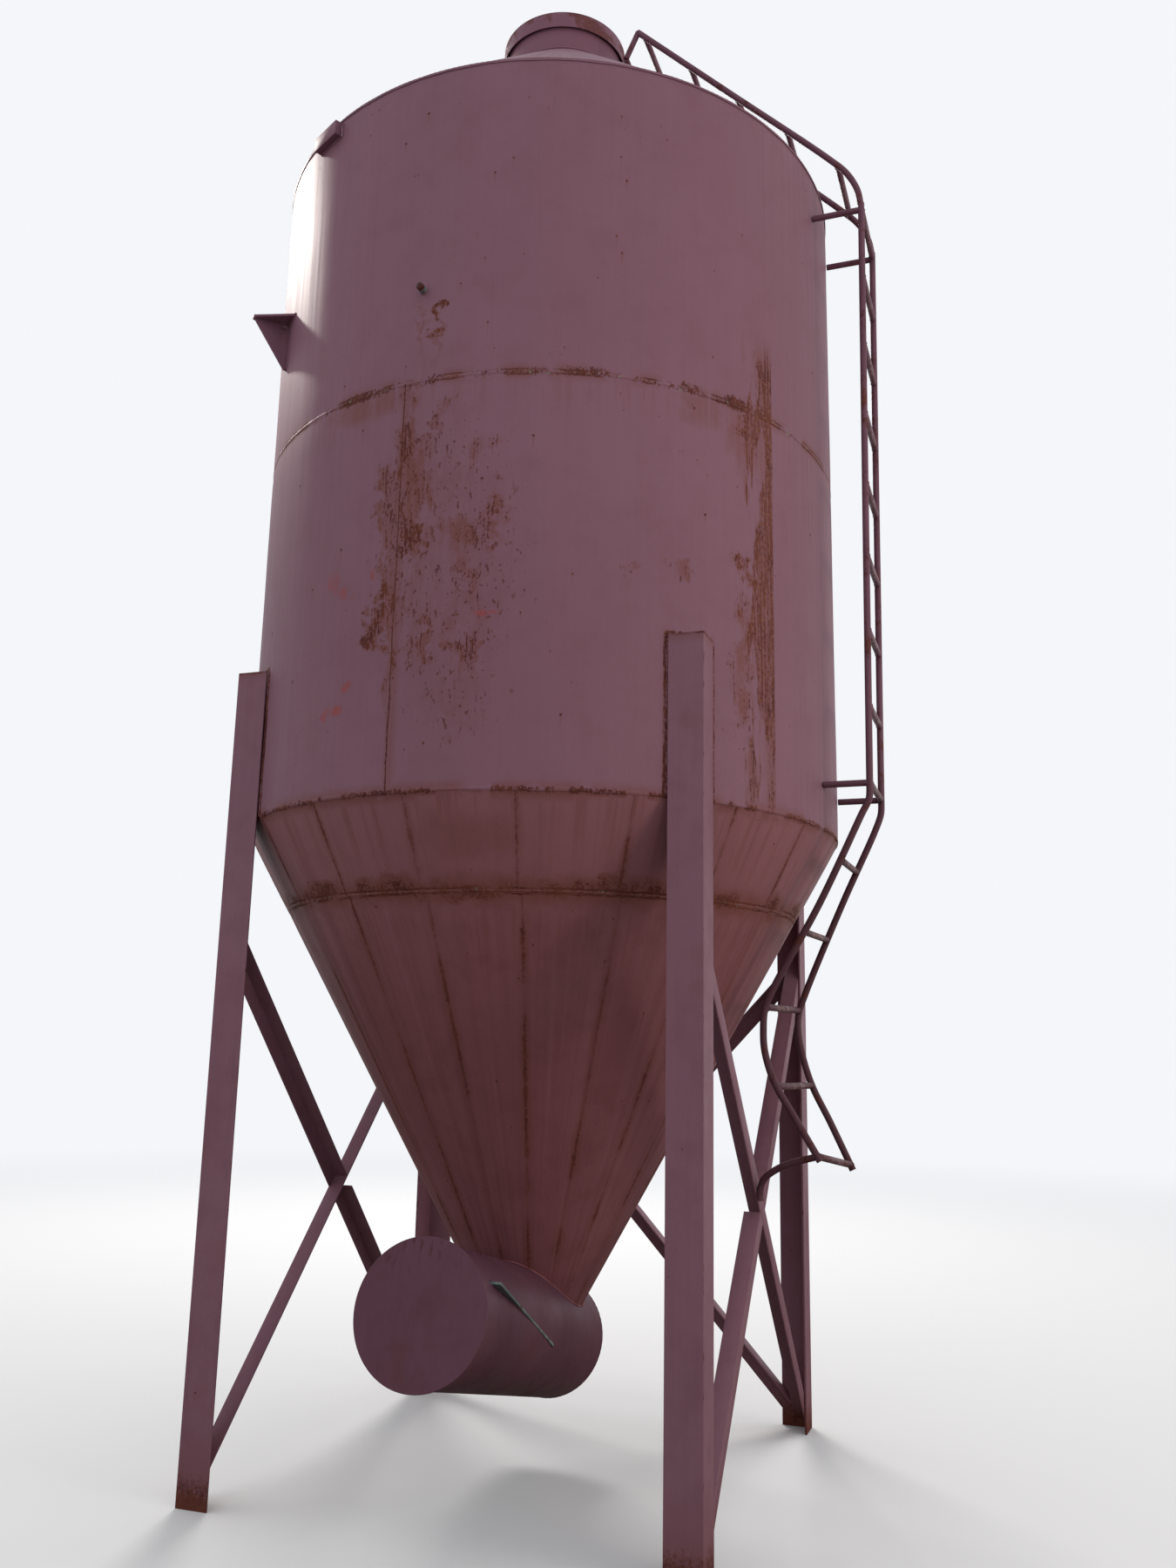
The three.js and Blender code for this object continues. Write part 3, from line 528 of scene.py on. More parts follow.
class Number:
    """What a node puts out, to be reckoned with like a number."""

    def __init__(self, nodes, socket):
        self.nodes = nodes
        self.socket = socket

    def math(self, operation, *others):
        node = self.nodes.add("ShaderNodeMath", operation=operation)
        for place, value in enumerate((self,) + others):
            self.nodes.put(node.inputs[place], value)
        return Number(self.nodes, node.outputs[0])

    def __add__(self, other):
        return self.math("ADD", other)

    def __sub__(self, other):
        return self.math("SUBTRACT", other)

    def __rsub__(self, other):
        return self * -1.0 + other

    def __mul__(self, other):
        return self.math("MULTIPLY", other)

    def __truediv__(self, other):
        return self.math("DIVIDE", other)

    def __abs__(self):
        return self.math("ABSOLUTE")

    def above(self, level):
        return self.math("GREATER_THAN", level)

    def moved(self, noise, size):
        """Carried to and fro by a noise, over the size given."""
        return noise * size + (self - size / 2)

    def fade(self, start, end, low=0.0, high=1.0):
        """Runs softly from low to high as the number goes from start to end."""
        node = self.nodes.add("ShaderNodeMapRange", {
            "Value": self, "From Min": start, "From Max": end, "To Min": low, "To Max": high},
            interpolation_type="SMOOTHSTEP")
        return Number(self.nodes, node.outputs["Result"])


def most(first, *others):
    for other in others:
        first = first.math("MAXIMUM", other)
    return first


class Nodes:
    """A node tree being laid out."""

    def add(self, kind, inputs=None, **settings):
        node = self.tree.nodes.new(kind)
        for label, value in settings.items():
            setattr(node, label, value)
        for label, value in (inputs or {}).items():
            self.put(node.inputs[label], value)
        return node

    def put(self, socket, value):
        if isinstance(value, Number):
            value = value.socket
        if isinstance(value, bpy.types.NodeSocket):
            self.tree.links.new(value, socket)
        else:
            socket.default_value = value


class Growth(Nodes):
    """A node tree that grows a piece's mesh, with named inputs for its sizes."""

    def __init__(self, name, *sizes):
        self.tree = bpy.data.node_groups.new(name, "GeometryNodeTree")
        self.sockets = {}
        kinds = {"Geometry": "NodeSocketGeometry", "Material": "NodeSocketMaterial"}
        for label in ("Geometry",) + sizes + ("Material",):
            self.sockets[label] = self.tree.interface.new_socket(
                label, in_out="INPUT", socket_type=kinds.get(label, "NodeSocketFloat"))
        self.tree.interface.new_socket("Geometry", in_out="OUTPUT", socket_type="NodeSocketGeometry")
        self.sizes = self.tree.nodes.new("NodeGroupInput").outputs

    def sweep(self, lines, section, scale=1.0):
        """Draws a section along the lines, closes its ends and ends the tree."""
        skin = self.add("GeometryNodeCurveToMesh", {
            "Curve": lines, "Profile Curve": section, "Scale": scale, "Fill Caps": True})
        whole = self.add("GeometryNodeRealizeInstances", {"Geometry": skin.outputs["Mesh"]})
        painted = self.add("GeometryNodeSetMaterial", {
            "Geometry": whole.outputs["Geometry"], "Material": self.sizes["Material"]})
        out = self.tree.nodes.new("NodeGroupOutput")
        self.tree.links.new(painted.outputs["Geometry"], out.inputs[0])

    def grow(self, piece, **sizes):
        step = piece.modifiers.new(self.tree.name, "NODES")
        step.node_group = self.tree
        for label, value in sizes.items():
            step[self.sockets[label].identifier] = value
        settle(piece)


def pipe_growth():
    """Round bar or pipe along every line of a mesh, with closed ends."""
    growth = Growth("round_bar", "Radius")
    lines = growth.add("GeometryNodeMeshToCurve", {"Mesh": growth.sizes["Geometry"]})
    section = growth.add("GeometryNodeCurvePrimitiveCircle", {
        "Resolution": PIPE_SIDES, "Radius": growth.sizes["Radius"]})
    growth.sweep(lines.outputs["Curve"], section.outputs["Curve"])
    return growth


def bead_growth():
    """A rippled, lumpy weld bead along every line of a mesh."""
    growth = Growth("weld_bead", "Radius", "Flatness", "Pitch")
    lines = growth.add("GeometryNodeMeshToCurve", {"Mesh": growth.sizes["Geometry"]})
    steps = growth.add("GeometryNodeResampleCurve", {
        "Curve": lines.outputs["Curve"], "Length": growth.sizes["Pitch"]}, mode="LENGTH")
    count = Number(growth, growth.add("GeometryNodeInputIndex").outputs["Index"])
    ripple = (count * BEAD_RIPPLE_TURN).math("SINE") * BEAD_RIPPLE
    lumps = growth.add("ShaderNodeTexNoise", {"Scale": BEAD_LUMPS_A_METRE, "Detail": 3.0, "Roughness": 0.6})
    swell = Number(growth, lumps.outputs["Fac"]) * (2 * BEAD_LUMP) + (1.0 - BEAD_LUMP)
    shape = growth.add("GeometryNodeSetCurveRadius", {
        "Curve": steps.outputs["Curve"], "Radius": ripple + swell})
    outward = growth.add("GeometryNodeInputNamedAttribute", {"Name": "outward"}, data_type="FLOAT_VECTOR")
    turned_out = growth.add("GeometryNodeSetCurveNormal", {
        "Curve": shape.outputs["Curve"], "Normal": outward.outputs["Attribute"]}, mode="FREE")
    section = growth.add("GeometryNodeCurvePrimitiveCircle", {
        "Resolution": BEAD_SIDES, "Radius": growth.sizes["Radius"]})
    squash = growth.add("ShaderNodeCombineXYZ", {"X": growth.sizes["Flatness"], "Y": 1.0, "Z": 1.0})
    flat = growth.add("GeometryNodeTransform", {
        "Geometry": section.outputs["Curve"], "Scale": squash.outputs["Vector"]})
    thickness = growth.add("GeometryNodeInputRadius")
    growth.sweep(turned_out.outputs["Curve"], flat.outputs["Geometry"], thickness.outputs["Radius"])
    return growth


def line_mesh(name, lines, lean=0.0):
    """A mesh of bare lines, each a list of points and whether its ends join.

    Every point keeps the way out of the surface that it lies on: straight out from the bin's axis,
    leaning up from level by the angle given.
    """
    points = []
    edges = []
    for line, joined in lines:
        first = len(points)
        points.extend(line)
        edges.extend((first + k, first + k + 1) for k in range(len(line) - 1))
        if joined:
            edges.append((first + len(line) - 1, first))
    piece = add_mesh(name, points, [], edges)
    layer = piece.data.attributes.new("outward", "FLOAT_VECTOR", "POINT")
    for k, point in enumerate(points):
        level = (point - AXIS).xy.normalized().to_3d()
        layer.data[k].vector = level * math.cos(lean) + Vector((0.0, 0.0, math.sin(lean)))
    return piece


class Paint(Nodes):
    """One material, its nodes added in the order that its layers lie on the steel."""

    def __init__(self, name, color=None):
        self.material = bpy.data.materials.new(name)
        self.material.use_nodes = True
        self.tree = self.material.node_tree
        self.tree.nodes.clear()
        self.spot = self.add("ShaderNodeTexCoord").outputs["Object"]
        self.color = color

    def stretched(self, scale, place, shift=(0.0, 0.0, 0.0)):
        node = self.add("ShaderNodeMapping", {"Vector": place, "Location": shift, "Scale": scale})
        return node.outputs["Vector"]

    def noise(self, scale, detail=3.0, roughness=0.55, place=None, shift=(0.0, 0.0, 0.0)):
        """Noise with so many lumps a metre, or with three such counts, for x, y and z."""
        place = place or self.spot
        if isinstance(scale, tuple):
            place = self.stretched(scale, place, shift)
            scale = 1.0
        node = self.add("ShaderNodeTexNoise", {
            "Vector": place, "Scale": scale, "Detail": detail, "Roughness": roughness, "Distortion": 0.0})
        return Number(self, node.outputs["Fac"])

    def mix(self, share, under, over):
        node = self.add("ShaderNodeMix", data_type="RGBA")
        self.put(node.inputs["Factor"], share)
        self.put(node.inputs[6], under)
        self.put(node.inputs[7], over)
        return node.outputs[2]

    def coat(self, share, over):
        """Lays a colour over the ones laid so far."""
        self.color = self.mix(share, self.color, over)

    def split(self, place):
        node = self.add("ShaderNodeSeparateXYZ", {"Vector": place})
        return [Number(self, node.outputs[label]) for label in "XYZ"]

    def about_bin(self):
        """Finds the height, the azimuth, the distance from the axis, and the place squared to the wall."""
        centred = self.add("ShaderNodeMapping", {"Vector": self.spot, "Location": -AXIS})
        x, y, self.z = self.split(centred.outputs["Vector"])
        self.azimuth = x.math("ARCTAN2", y * -1.0)
        self.radius = (x * x + y * y).math("SQRT")
        share = self.radius.math("MAXIMUM", 0.05).math("POWER", -1.0) * BIN_R
        squared = self.add("ShaderNodeCombineXYZ", {"X": x * share, "Y": y * share, "Z": self.z})
        self.squared = squared.outputs["Vector"]
        return self.z

    def from_azimuth(self, azimuth, half=math.pi, seen=None):
        """How far a place has turned past an azimuth, within half a turn or less to either side."""
        offset = (seen or self.azimuth) - math.radians(azimuth)
        return offset.math("WRAP", half, -half)

    def past_seam(self, first, count):
        """How far a place lies, round the bin, past the nearest of evenly spaced seams."""
        return self.from_azimuth(first, math.pi / count) * self.radius

    def blot(self, spots, azimuth=None, z=None):
        """Soft-edged blots, each (azimuth, height, half width, half height, strength)."""
        blots = []
        for at_azimuth, at_z, half_width, half_height, strength in spots:
            across = self.from_azimuth(at_azimuth, seen=azimuth) * (self.radius / half_width)
            up = ((z or self.z) - at_z) / half_height
            blots.append((across * across + up * up).fade(1.0, 0.0, 0.0, strength))
        return most(*blots)

    def worn_edge(self):
        node = self.add("ShaderNodeAttribute", attribute_name="worn_edge", attribute_type="GEOMETRY")
        return Number(self, node.outputs["Fac"])

    def end(self, roughness, height, depth, strength=0.7, metal=0.0):
        bump = self.add("ShaderNodeBump", {"Height": height, "Distance": depth, "Strength": strength})
        shader = self.add("ShaderNodeBsdfPrincipled", {
            "Base Color": self.color, "Roughness": roughness, "Metallic": metal, "Specular IOR Level": GLOSS,
            "Normal": bump.outputs["Normal"]})
        out = self.add("ShaderNodeOutputMaterial", {"Surface": shader.outputs["BSDF"]})
        self.tree.nodes.active = out
        return self.material


# Materials

def torn(ragged, width, distance):
    """The distance from a line or spot, its edge made ragged by a noise."""
    return (ragged - 0.5) * width + distance


def rust_color(paint, orange, grain_scale=70.0):
    """Dark, brown and orange rust, by patches and by grain."""
    patches = paint.noise(7.0, 4.0, 0.62)
    grain = paint.noise(grain_scale, 4.0, 0.7)
    brown = paint.mix(patches.fade(0.36, 0.62), RUST_DARK, RUST_BROWN)
    return paint.mix(grain.fade(0.47, 0.70) * orange, brown, RUST_ORANGE)


def weather(paint, streaks_and_facet_shade, base, chalk, deep, streak_and_shade_share=0.22):
    """Weathered paint: broad clouds, fine mottling and light and dark streaks down the plate, which are
    hair-thin runs of weathering on most parts and broad stripes of painted facet shading on the hopper.
    """
    paint.color = base
    paint.coat(paint.noise(0.9, 3.0, 0.5).fade(0.36, 0.68, 0.0, 0.45), chalk)
    paint.coat(paint.noise(8.0, 4.0, 0.6).fade(0.45, 0.74, 0.0, 0.30), deep)
    # Dark and pale streaks: weathering runs on most parts, painted facet shading on the hopper.
    paint.coat(streaks_and_facet_shade.fade(0.48, 0.70, 0.0, streak_and_shade_share), deep)
    paint.coat(streaks_and_facet_shade.fade(0.48, 0.30, 0.0, streak_and_shade_share), chalk)
    paint.coat(paint.noise(60.0, 3.0, 0.6).fade(0.52, 0.76, 0.0, 0.16), deep)


def toe_rust(distance, ragged):
    """A thin ragged line of rust."""
    return torn(ragged, TOE_WIDTH * 3.0, distance).fade(TOE_WIDTH, TOE_WIDTH * 0.35)


def seam_rust(paint, distance, showing, ragged):
    """Two thin broken lines of rust, one along each toe of a weld bead."""
    wander = paint.noise(16.0, 2.0) * 0.012 + (TOE - 0.006)
    return toe_rust(abs(distance - wander), ragged) * showing


def dashes(paint):
    """The stretches of the weld between wall and hopper that have rusted."""
    along = paint.noise((4.4, 4.4, 0.0), 3.0, 0.62, paint.squared, (0.0, 2.0, 0.0))
    return along.fade(0.455, 0.495)


def pits(paint, place, per_metre, size, run, ragged):
    """Pits where the paint has rusted through, and the thin run of rust below each."""
    stretch = (per_metre, per_metre, per_metre * 0.45)
    cells = paint.add("ShaderNodeTexVoronoi", {
        "Vector": paint.stretched(stretch, place), "Scale": 1.0, "Randomness": 1.0}, feature="F1")
    away = paint.add("ShaderNodeVectorMath", operation="SUBTRACT")
    paint.put(away.inputs[0], place)
    paint.put(away.inputs[1], paint.stretched(tuple(1.0 / s for s in stretch), cells.outputs["Position"]))
    x, y, z = paint.split(away.outputs[0])
    across = x * x + y * y
    pit = torn(ragged, size * 1.6, (z * z + across).math("SQRT")).fade(size, size * 0.55)
    beside = across.math("SQRT").fade(size * 0.75, size * 0.1)
    below = z.fade(-run, -size * 0.3) * z.fade(size * 0.3, -size * 0.3)
    return pit, beside * below


def plate_end(paint, rust, streaks_and_facet_shade, ragged, grain_scale, dullness):
    """Ends the paint of a plate: duller where it has rusted, and rough to the touch all over."""
    grain = paint.noise(grain_scale, 3.0, 0.65)
    roughness = rust * 0.26 + streaks_and_facet_shade.fade(0.3, 0.7, dullness, dullness + 0.08)
    return paint.end(roughness, ragged * 0.12 + grain * 0.10, 0.0018)


def seam_streak(paint, ragged):
    """How near a place is to the rust run beside an upper wall seam, and the run's ragged threads."""
    z = paint.z
    beyond = paint.past_seam(UPPER_WALL_SEAM + STREAK_START, PLATES)
    reach = paint.noise((16.0, 16.0, 2.4), 4.0, 0.62, paint.squared, (0.0, 3.0, 8.0))
    reach = reach.fade(0.40, 0.62, *STREAK_REACH)
    near = (beyond.fade(0.003, -0.003) * (beyond + reach).fade(0.0, 0.06)
            * z.fade(4.30, 4.10) * z.fade(2.40, 2.95, 0.86, 1.0))
    threads = paint.noise((120.0, 120.0, 6.0), 4.0, 0.7, paint.squared, (2.0, 7.0, 1.0))
    return near, (near * 0.19 + threads * 0.52 + ragged * 0.36).fade(0.585, 0.655) * near.fade(0.0, 0.25)


def leg_rust(paint, speckle):
    """How near a place is to the toe of a leg, and the wall's rust beside and over the legs."""
    z = paint.z
    leg = abs(paint.past_seam(FIRST_LEG, LEGS))
    over_leg = (abs(z - (LEG_TOP_Z + 0.009)).fade(0.016, 0.006)
                * leg.fade(LEG_REACH + 0.012, LEG_REACH - 0.004))
    at_toe = abs(leg - (LEG_REACH + 0.004)).fade(0.015, 0.005) * z.fade(LEG_TOP_Z + 0.05, LEG_TOP_Z - 0.02)
    return at_toe, (most(over_leg, at_toe * 0.85) * 0.20 + speckle).fade(0.765, 0.815)


def wall_paint():
    """The wall and roof: sun-dulled rose paint, rusted at its seams and where it has been knocked."""
    paint = Paint("wall_paint")
    z = paint.about_bin()
    squared = paint.squared
    streaks_and_facet_shade = paint.noise((46.0, 46.0, 0.9), 4.0, 0.62, squared)
    runs = paint.noise((34.0, 34.0, 1.6), 3.0, 0.55, squared, (3.0, 1.0, 0.0))
    weather(paint, streaks_and_facet_shade, WALL_ROSE, WALL_CHALK, WALL_DEEP, 0.08)

    past_low = paint.past_seam(LOWER_WALL_SEAM, PLATES)
    low_wall = abs(past_low)
    high_wall = abs(paint.past_seam(UPPER_WALL_SEAM, PLATES))
    is_high = z.above(WALL_SEAM_Z)
    upright = is_high * (high_wall - low_wall) + low_wall
    middle = abs(z - WALL_SEAM_Z)
    bottom = abs(z - WALL_BOTTOM_Z)
    sheltered = z.fade(4.27, 4.12)

    ragged = paint.noise(75.0, 5.0, 0.72)
    coarse = paint.noise((17.0, 17.0, 7.5), 5.0, 0.70, squared)
    ticks = paint.noise((84.0, 84.0, 11.0), 4.0, 0.65, squared, (1.0, 4.0, 2.0))
    specks = paint.noise((150.0, 150.0, 85.0), 4.0, 0.7, squared, (3.0, 1.0, 5.0))
    speckle = ticks * 0.46 + coarse * 0.17 + specks * 0.36 + ragged * 0.27
    girth_showing = paint.noise(4.0, 3.0, 0.6).fade(0.42, 0.50)
    upright_showing = paint.noise((4.0, 4.0, 4.5), 3.0, 0.6).fade(0.36, 0.48)
    on_girth = seam_rust(paint, middle, girth_showing, ragged)
    on_high = seam_rust(paint, high_wall, upright_showing * sheltered * is_high, ragged)
    beside_low = (past_low + TOE).moved(paint.noise(13.0, 3.0, 0.6), 0.010)
    on_low = toe_rust(abs(beside_low), ragged) * (1.0 - is_high)

    bent_azimuth = paint.azimuth.moved(paint.noise(9.0, 4.0, 0.62, squared), 0.24)
    bent_z = z.moved(paint.noise((8.0, 8.0, 8.0), 4.0, 0.62, squared, (4.0, 0.0, 9.0)), 0.42)
    along = paint.noise((9.0, 9.0, 4.0), 4.0, 0.65, squared)
    beside = (low_wall.fade(0.110, 0.004) * along.fade(0.38, 0.60, 0.30, 0.95)
              * z.fade(WALL_SEAM_Z, WALL_SEAM_Z - 0.03) * z.fade(2.50, 2.95))
    spots = LOWER_SEAM_CRUST + UPPER_SEAM_CRUST + FAR_SIDE_CRUST
    crusting = most(paint.blot(spots, bent_azimuth, bent_z), beside)
    crust = (crusting * 0.17 + speckle).fade(0.770, 0.820)
    scatter = paint.noise((52.0, 52.0, 28.0), 3.0, 0.62, squared, (6.0, 2.0, 3.0))
    scatter = scatter.fade(0.615, 0.655) * crusting.fade(0.08, 0.34)

    near_streak, streak = seam_streak(paint, ragged)
    at_toe, beside_leg = leg_rust(paint, speckle)
    patches = paint.noise(3.4, 3.0, 0.6).fade(0.43, 0.53)
    girth_spread = most(paint.blot(GIRTH_CRUST), middle.fade(0.030, 0.006) * patches * 0.75,
                        bottom.fade(0.024, 0.003) * dashes(paint))
    girth_crust = (girth_spread * 0.19 + ragged * 0.36 + coarse * 0.26 + specks * 0.38).fade(0.640, 0.700)
    pit, pit_run = pits(paint, squared, 12.0, 0.0064, 0.070, ragged)
    small_pit, small_run = pits(paint, squared, 27.0, 0.0050, 0.040, ragged)
    knocked = (crusting * 0.25 + paint.noise(2.3, 3.0, 0.6)).fade(0.56, 0.64)

    below = WALL_SEAM_Z - z
    fall = below.fade(0.22, 0.01) * below.above(0.0)
    drips = runs.fade(0.50, 0.64) * fall * girth_spread.fade(0.0, 0.5, 0.45, 1.0)
    spread_runs = runs.fade(0.46, 0.64) * crusting.fade(0.20, 1.05)
    soft = (coarse * 0.9 + crusting).fade(0.74, 1.20) * runs.fade(0.34, 0.60, 0.45, 1.0)
    tint = paint.blot(PEG_AND_HALO_TINT, bent_azimuth) * runs.fade(0.30, 0.62, 0.35, 1.0)
    near_seam = middle.math("MINIMUM", bottom).fade(0.045, 0.0) * girth_showing
    stain = most(
        near_seam * 0.7, drips * 0.6, upright.fade(0.035, 0.0) * sheltered * 0.55, spread_runs * 0.55, soft,
        near_streak * 0.75, tint * 0.95, pit_run * 0.70, small_run * knocked * 0.6, at_toe * 0.5,
        runs.fade(0.60, 0.76) * 0.10)
    rust = most(on_girth, on_high, on_low, crust, streak * 0.90, girth_crust, beside_leg, pit,
                small_pit * knocked * 0.9, scatter * 0.75)
    paint.coat(stain * 0.80, RUST_STAIN)
    paint.coat(paint.blot(SCUFFS, bent_azimuth) * ragged.fade(0.30, 0.48) * 0.85, SCUFF_RED)
    paint.coat(rust * 0.92, rust_color(paint, near_streak.fade(0.0, 0.5, 0.35, 1.0)))
    bare = girth_spread.fade(0.25, 0.7) * paint.noise(42.0, 3.0, 0.6).fade(0.60, 0.66)
    paint.coat(bare * middle.fade(0.014, 0.005) * 0.80, WELD_GREY)
    return plate_end(paint, rust, streaks_and_facet_shade, ragged, 190.0, 0.52)


def hopper_paint():
    """The hopper: the same paint, darker and redder as painted shade, striped with painted facet shading,
    with rust along the creases and seams of its plates.
    """
    paint = Paint("hopper_paint")
    z = paint.about_bin()
    squared = paint.squared
    # Painted shade and light: broad dark and pale stripes down the hopper's plates stand in for the shading
    # of its brake creases.
    streaks_and_facet_shade = paint.noise((14.0, 14.0, 0.4), 4.0, 0.62, squared)
    runs = paint.noise((30.0, 30.0, 1.2), 3.0, 0.55, squared, (5.0, 2.0, 0.0))
    weather(paint, streaks_and_facet_shade, HOPPER_SHADED_RED, HOPPER_SHADED_CHALK, HOPPER_SHADED_DEEP, 0.26)
    # Painted light: the hopper grows paler towards its top, where it meets the wall.
    paint.coat(z.fade(CONE_SEAM_Z - 0.30, WALL_BOTTOM_Z, 0.0, 0.55), HOPPER_SHADED_CHALK)

    gores = abs(paint.past_seam(UPPER_CONE_SEAM, GORES))
    creases = abs(paint.past_seam(LOWER_CREASE_LINE, GORES))
    is_high = z.above(CONE_SEAM_Z)
    upright = is_high * (gores - creases) + creases
    middle = abs(z - CONE_SEAM_Z)
    top = abs(z - WALL_BOTTOM_Z)

    ragged = paint.noise(70.0, 5.0, 0.72)
    coarse = paint.noise((16.0, 16.0, 8.0), 5.0, 0.70, squared)
    showing = paint.noise(4.6, 3.0, 0.6).fade(0.40, 0.52)
    line_showing = paint.noise((5.0, 5.0, 2.2), 3.0, 0.6).fade(0.40, 0.58, 0.25, 1.0)
    on_level = seam_rust(paint, middle, showing, ragged)
    wander = abs(upright.moved(paint.noise(15.0, 4.0, 0.65), 0.022))
    on_upright = torn(ragged, 0.030, wander).fade(0.0080, 0.0015) * line_showing
    patches = paint.noise((3.6, 3.6, 0.5), 3.0, 0.6, squared).fade(0.42, 0.52, 0.30, 1.0)
    bent_azimuth = paint.azimuth.moved(paint.noise(8.0, 4.0, 0.62, squared), 0.30)
    bent_z = z.moved(paint.noise(7.0, 4.0, 0.6), 0.10)
    near_seam = abs(bent_z - (CONE_SEAM_Z + 0.008)).fade(0.060, 0.004) * patches
    at_top = top.fade(0.024, 0.003) * dashes(paint)
    crusting = most(paint.blot(HOPPER_CRUST, bent_azimuth, bent_z), near_seam, at_top)
    specks = paint.noise(150.0, 4.0, 0.7)
    crust = (crusting * 0.17 + ragged * 0.36 + coarse * 0.26 + specks * 0.38).fade(0.635, 0.700)
    pit, pit_run = pits(paint, squared, 12.0, 0.0062, 0.07, ragged)
    below = is_high * (WALL_BOTTOM_Z - CONE_SEAM_Z) + CONE_SEAM_Z - z
    drips = runs.fade(0.50, 0.66) * below.fade(0.40, 0.01) * below.above(0.0)
    haze = (paint.noise(11.0, 4.0, 0.65) * -0.09 + middle).fade(0.030, -0.045)
    stain = most(
        middle.math("MINIMUM", top).fade(0.050, 0.0) * showing, drips * 0.5, haze,
        upright.fade(0.034, 0.0) * line_showing * 0.8, pit_run * 0.7,
        crusting.fade(0.0, 0.7) * coarse.fade(0.30, 0.55, 0.5, 1.0))
    rust = most(on_level, on_upright * 0.85, crust, pit)
    paint.coat(stain * 0.72, HOPPER_STAIN)
    paint.coat(rust * 0.9, rust_color(paint, 0.22))
    bare = crusting.fade(0.3, 0.7) * paint.noise(42.0, 3.0, 0.6).fade(0.63, 0.68)
    paint.coat(bare * middle.fade(0.012, 0.005) * 0.6, WELD_GREY)
    return plate_end(paint, rust, streaks_and_facet_shade, ragged, 170.0, 0.54)


def frame_paint():
    """Angle iron: nearly plain paint, rusted where it was welded, cut or knocked."""
    paint = Paint("frame_paint")
    _, _, z = paint.split(paint.spot)
    weather(paint, paint.noise((40.0, 40.0, 1.6), 4.0, 0.6), FRAME_RED, FRAME_CHALK, FRAME_DEEP, 0.14)
    ragged = paint.noise(80.0, 5.0, 0.72)
    patchy = paint.noise(5.0, 4.0, 0.65)
    top = abs(z - LEG_TOP_Z)
    on_top = torn(ragged, 0.030, top).fade(0.010, 0.003) * patchy.fade(0.42, 0.54)
    at_foot = (ragged * -0.20 + z).fade(0.02, -0.07)
    pit, pit_run = pits(paint, paint.spot, 13.0, 0.0050, 0.05, ragged)
    some = patchy.fade(0.46, 0.60)
    on_edge = paint.worn_edge() * paint.noise(16.0, 4.0, 0.7).fade(0.56, 0.66)
    rust = most(on_top, at_foot, pit * some, on_edge * 0.8)
    stain = most(top.fade(0.05, 0.0, 0.0, 0.6), z.fade(0.30, 0.02, 0.0, 0.6), pit_run * some * 0.6,
                 patchy.fade(0.54, 0.72) * 0.25)
    paint.coat(stain * 0.7, RUST_STAIN)
    paint.coat(rust * 0.9, rust_color(paint, 0.4, 90.0))
    height = rust * (ragged * 0.9 + 0.2) + paint.noise(230.0, 3.0, 0.65) * 0.12
    return paint.end(rust * 0.30 + patchy.fade(0.3, 0.7, 0.46, 0.58), height, 0.0014)


def boot_paint():
    """Deep dusky red, smooth, with thin dark runs down from the upper edges."""
    paint = Paint("boot_paint")
    _, _, z = paint.split(paint.spot)
    weather(paint, paint.noise((30.0, 30.0, 2.0), 4.0, 0.62), BOOT_RED, BOOT_CHALK, BOOT_DEEP, 0.18)
    ragged = paint.noise(80.0, 5.0, 0.72)
    patchy = paint.noise(6.0, 4.0, 0.62)
    drips = paint.noise((48.0, 48.0, 2.6), 3.0, 0.6).fade(0.54, 0.68) * z.fade(0.80, 0.94)
    pit, pit_run = pits(paint, paint.spot, 12.0, 0.0050, 0.05, ragged)
    rust = most(paint.worn_edge() * patchy.fade(0.48, 0.60) * 0.7, pit)
    paint.coat(drips * 0.65, RUST_DARK)
    paint.coat(most(patchy.fade(0.52, 0.76, 0.0, 0.30), pit_run * 0.5), RUST_BROWN)
    paint.coat(rust * 0.85, rust_color(paint, 0.4, 90.0))
    height = rust * (ragged * 0.9 + 0.2) + paint.noise(220.0, 3.0, 0.65) * 0.10
    return paint.end(rust * 0.30 + patchy.fade(0.3, 0.7, 0.44, 0.56), height, 0.0014)


def ladder_paint():
    """Pipe and bar with thin dark paint, rusting in patches and rubbed pale where feet have been, darkened
    from 2.9 m down as painted shade under the bin.
    """
    paint = Paint("ladder_paint")
    _, y, z = paint.split(paint.spot)
    weather(paint, paint.noise((18.0, 18.0, 5.0), 4.0, 0.6), LADDER_RED, LADDER_CHALK, LADDER_DEEP)
    # Painted shade: the ladder darkens from 2.9 m down to 2.2 m, where it runs under the bin.
    paint.coat(z.fade(2.9, 2.2, 0.0, 0.75), LADDER_DEEP)
    ragged = paint.noise(80.0, 5.0, 0.72)
    patchy = paint.noise(9.0, 4.0, 0.65)
    rust = (ragged * 0.55 + patchy).fade(0.84, 0.94)
    rubbed = abs(y - AXIS.y).fade(0.14, 0.05) * ragged.fade(0.42, 0.58) * patchy.fade(0.38, 0.54)
    paint.coat(rust * 0.8, rust_color(paint, 0.5, 110.0))
    paint.coat(rubbed * 0.70, RUBBED_PINK)
    height = rust * ragged + paint.noise(260.0, 3.0, 0.65) * 0.12
    return paint.end(rubbed * -0.20 + rust * 0.28 + 0.52, height, 0.0010)


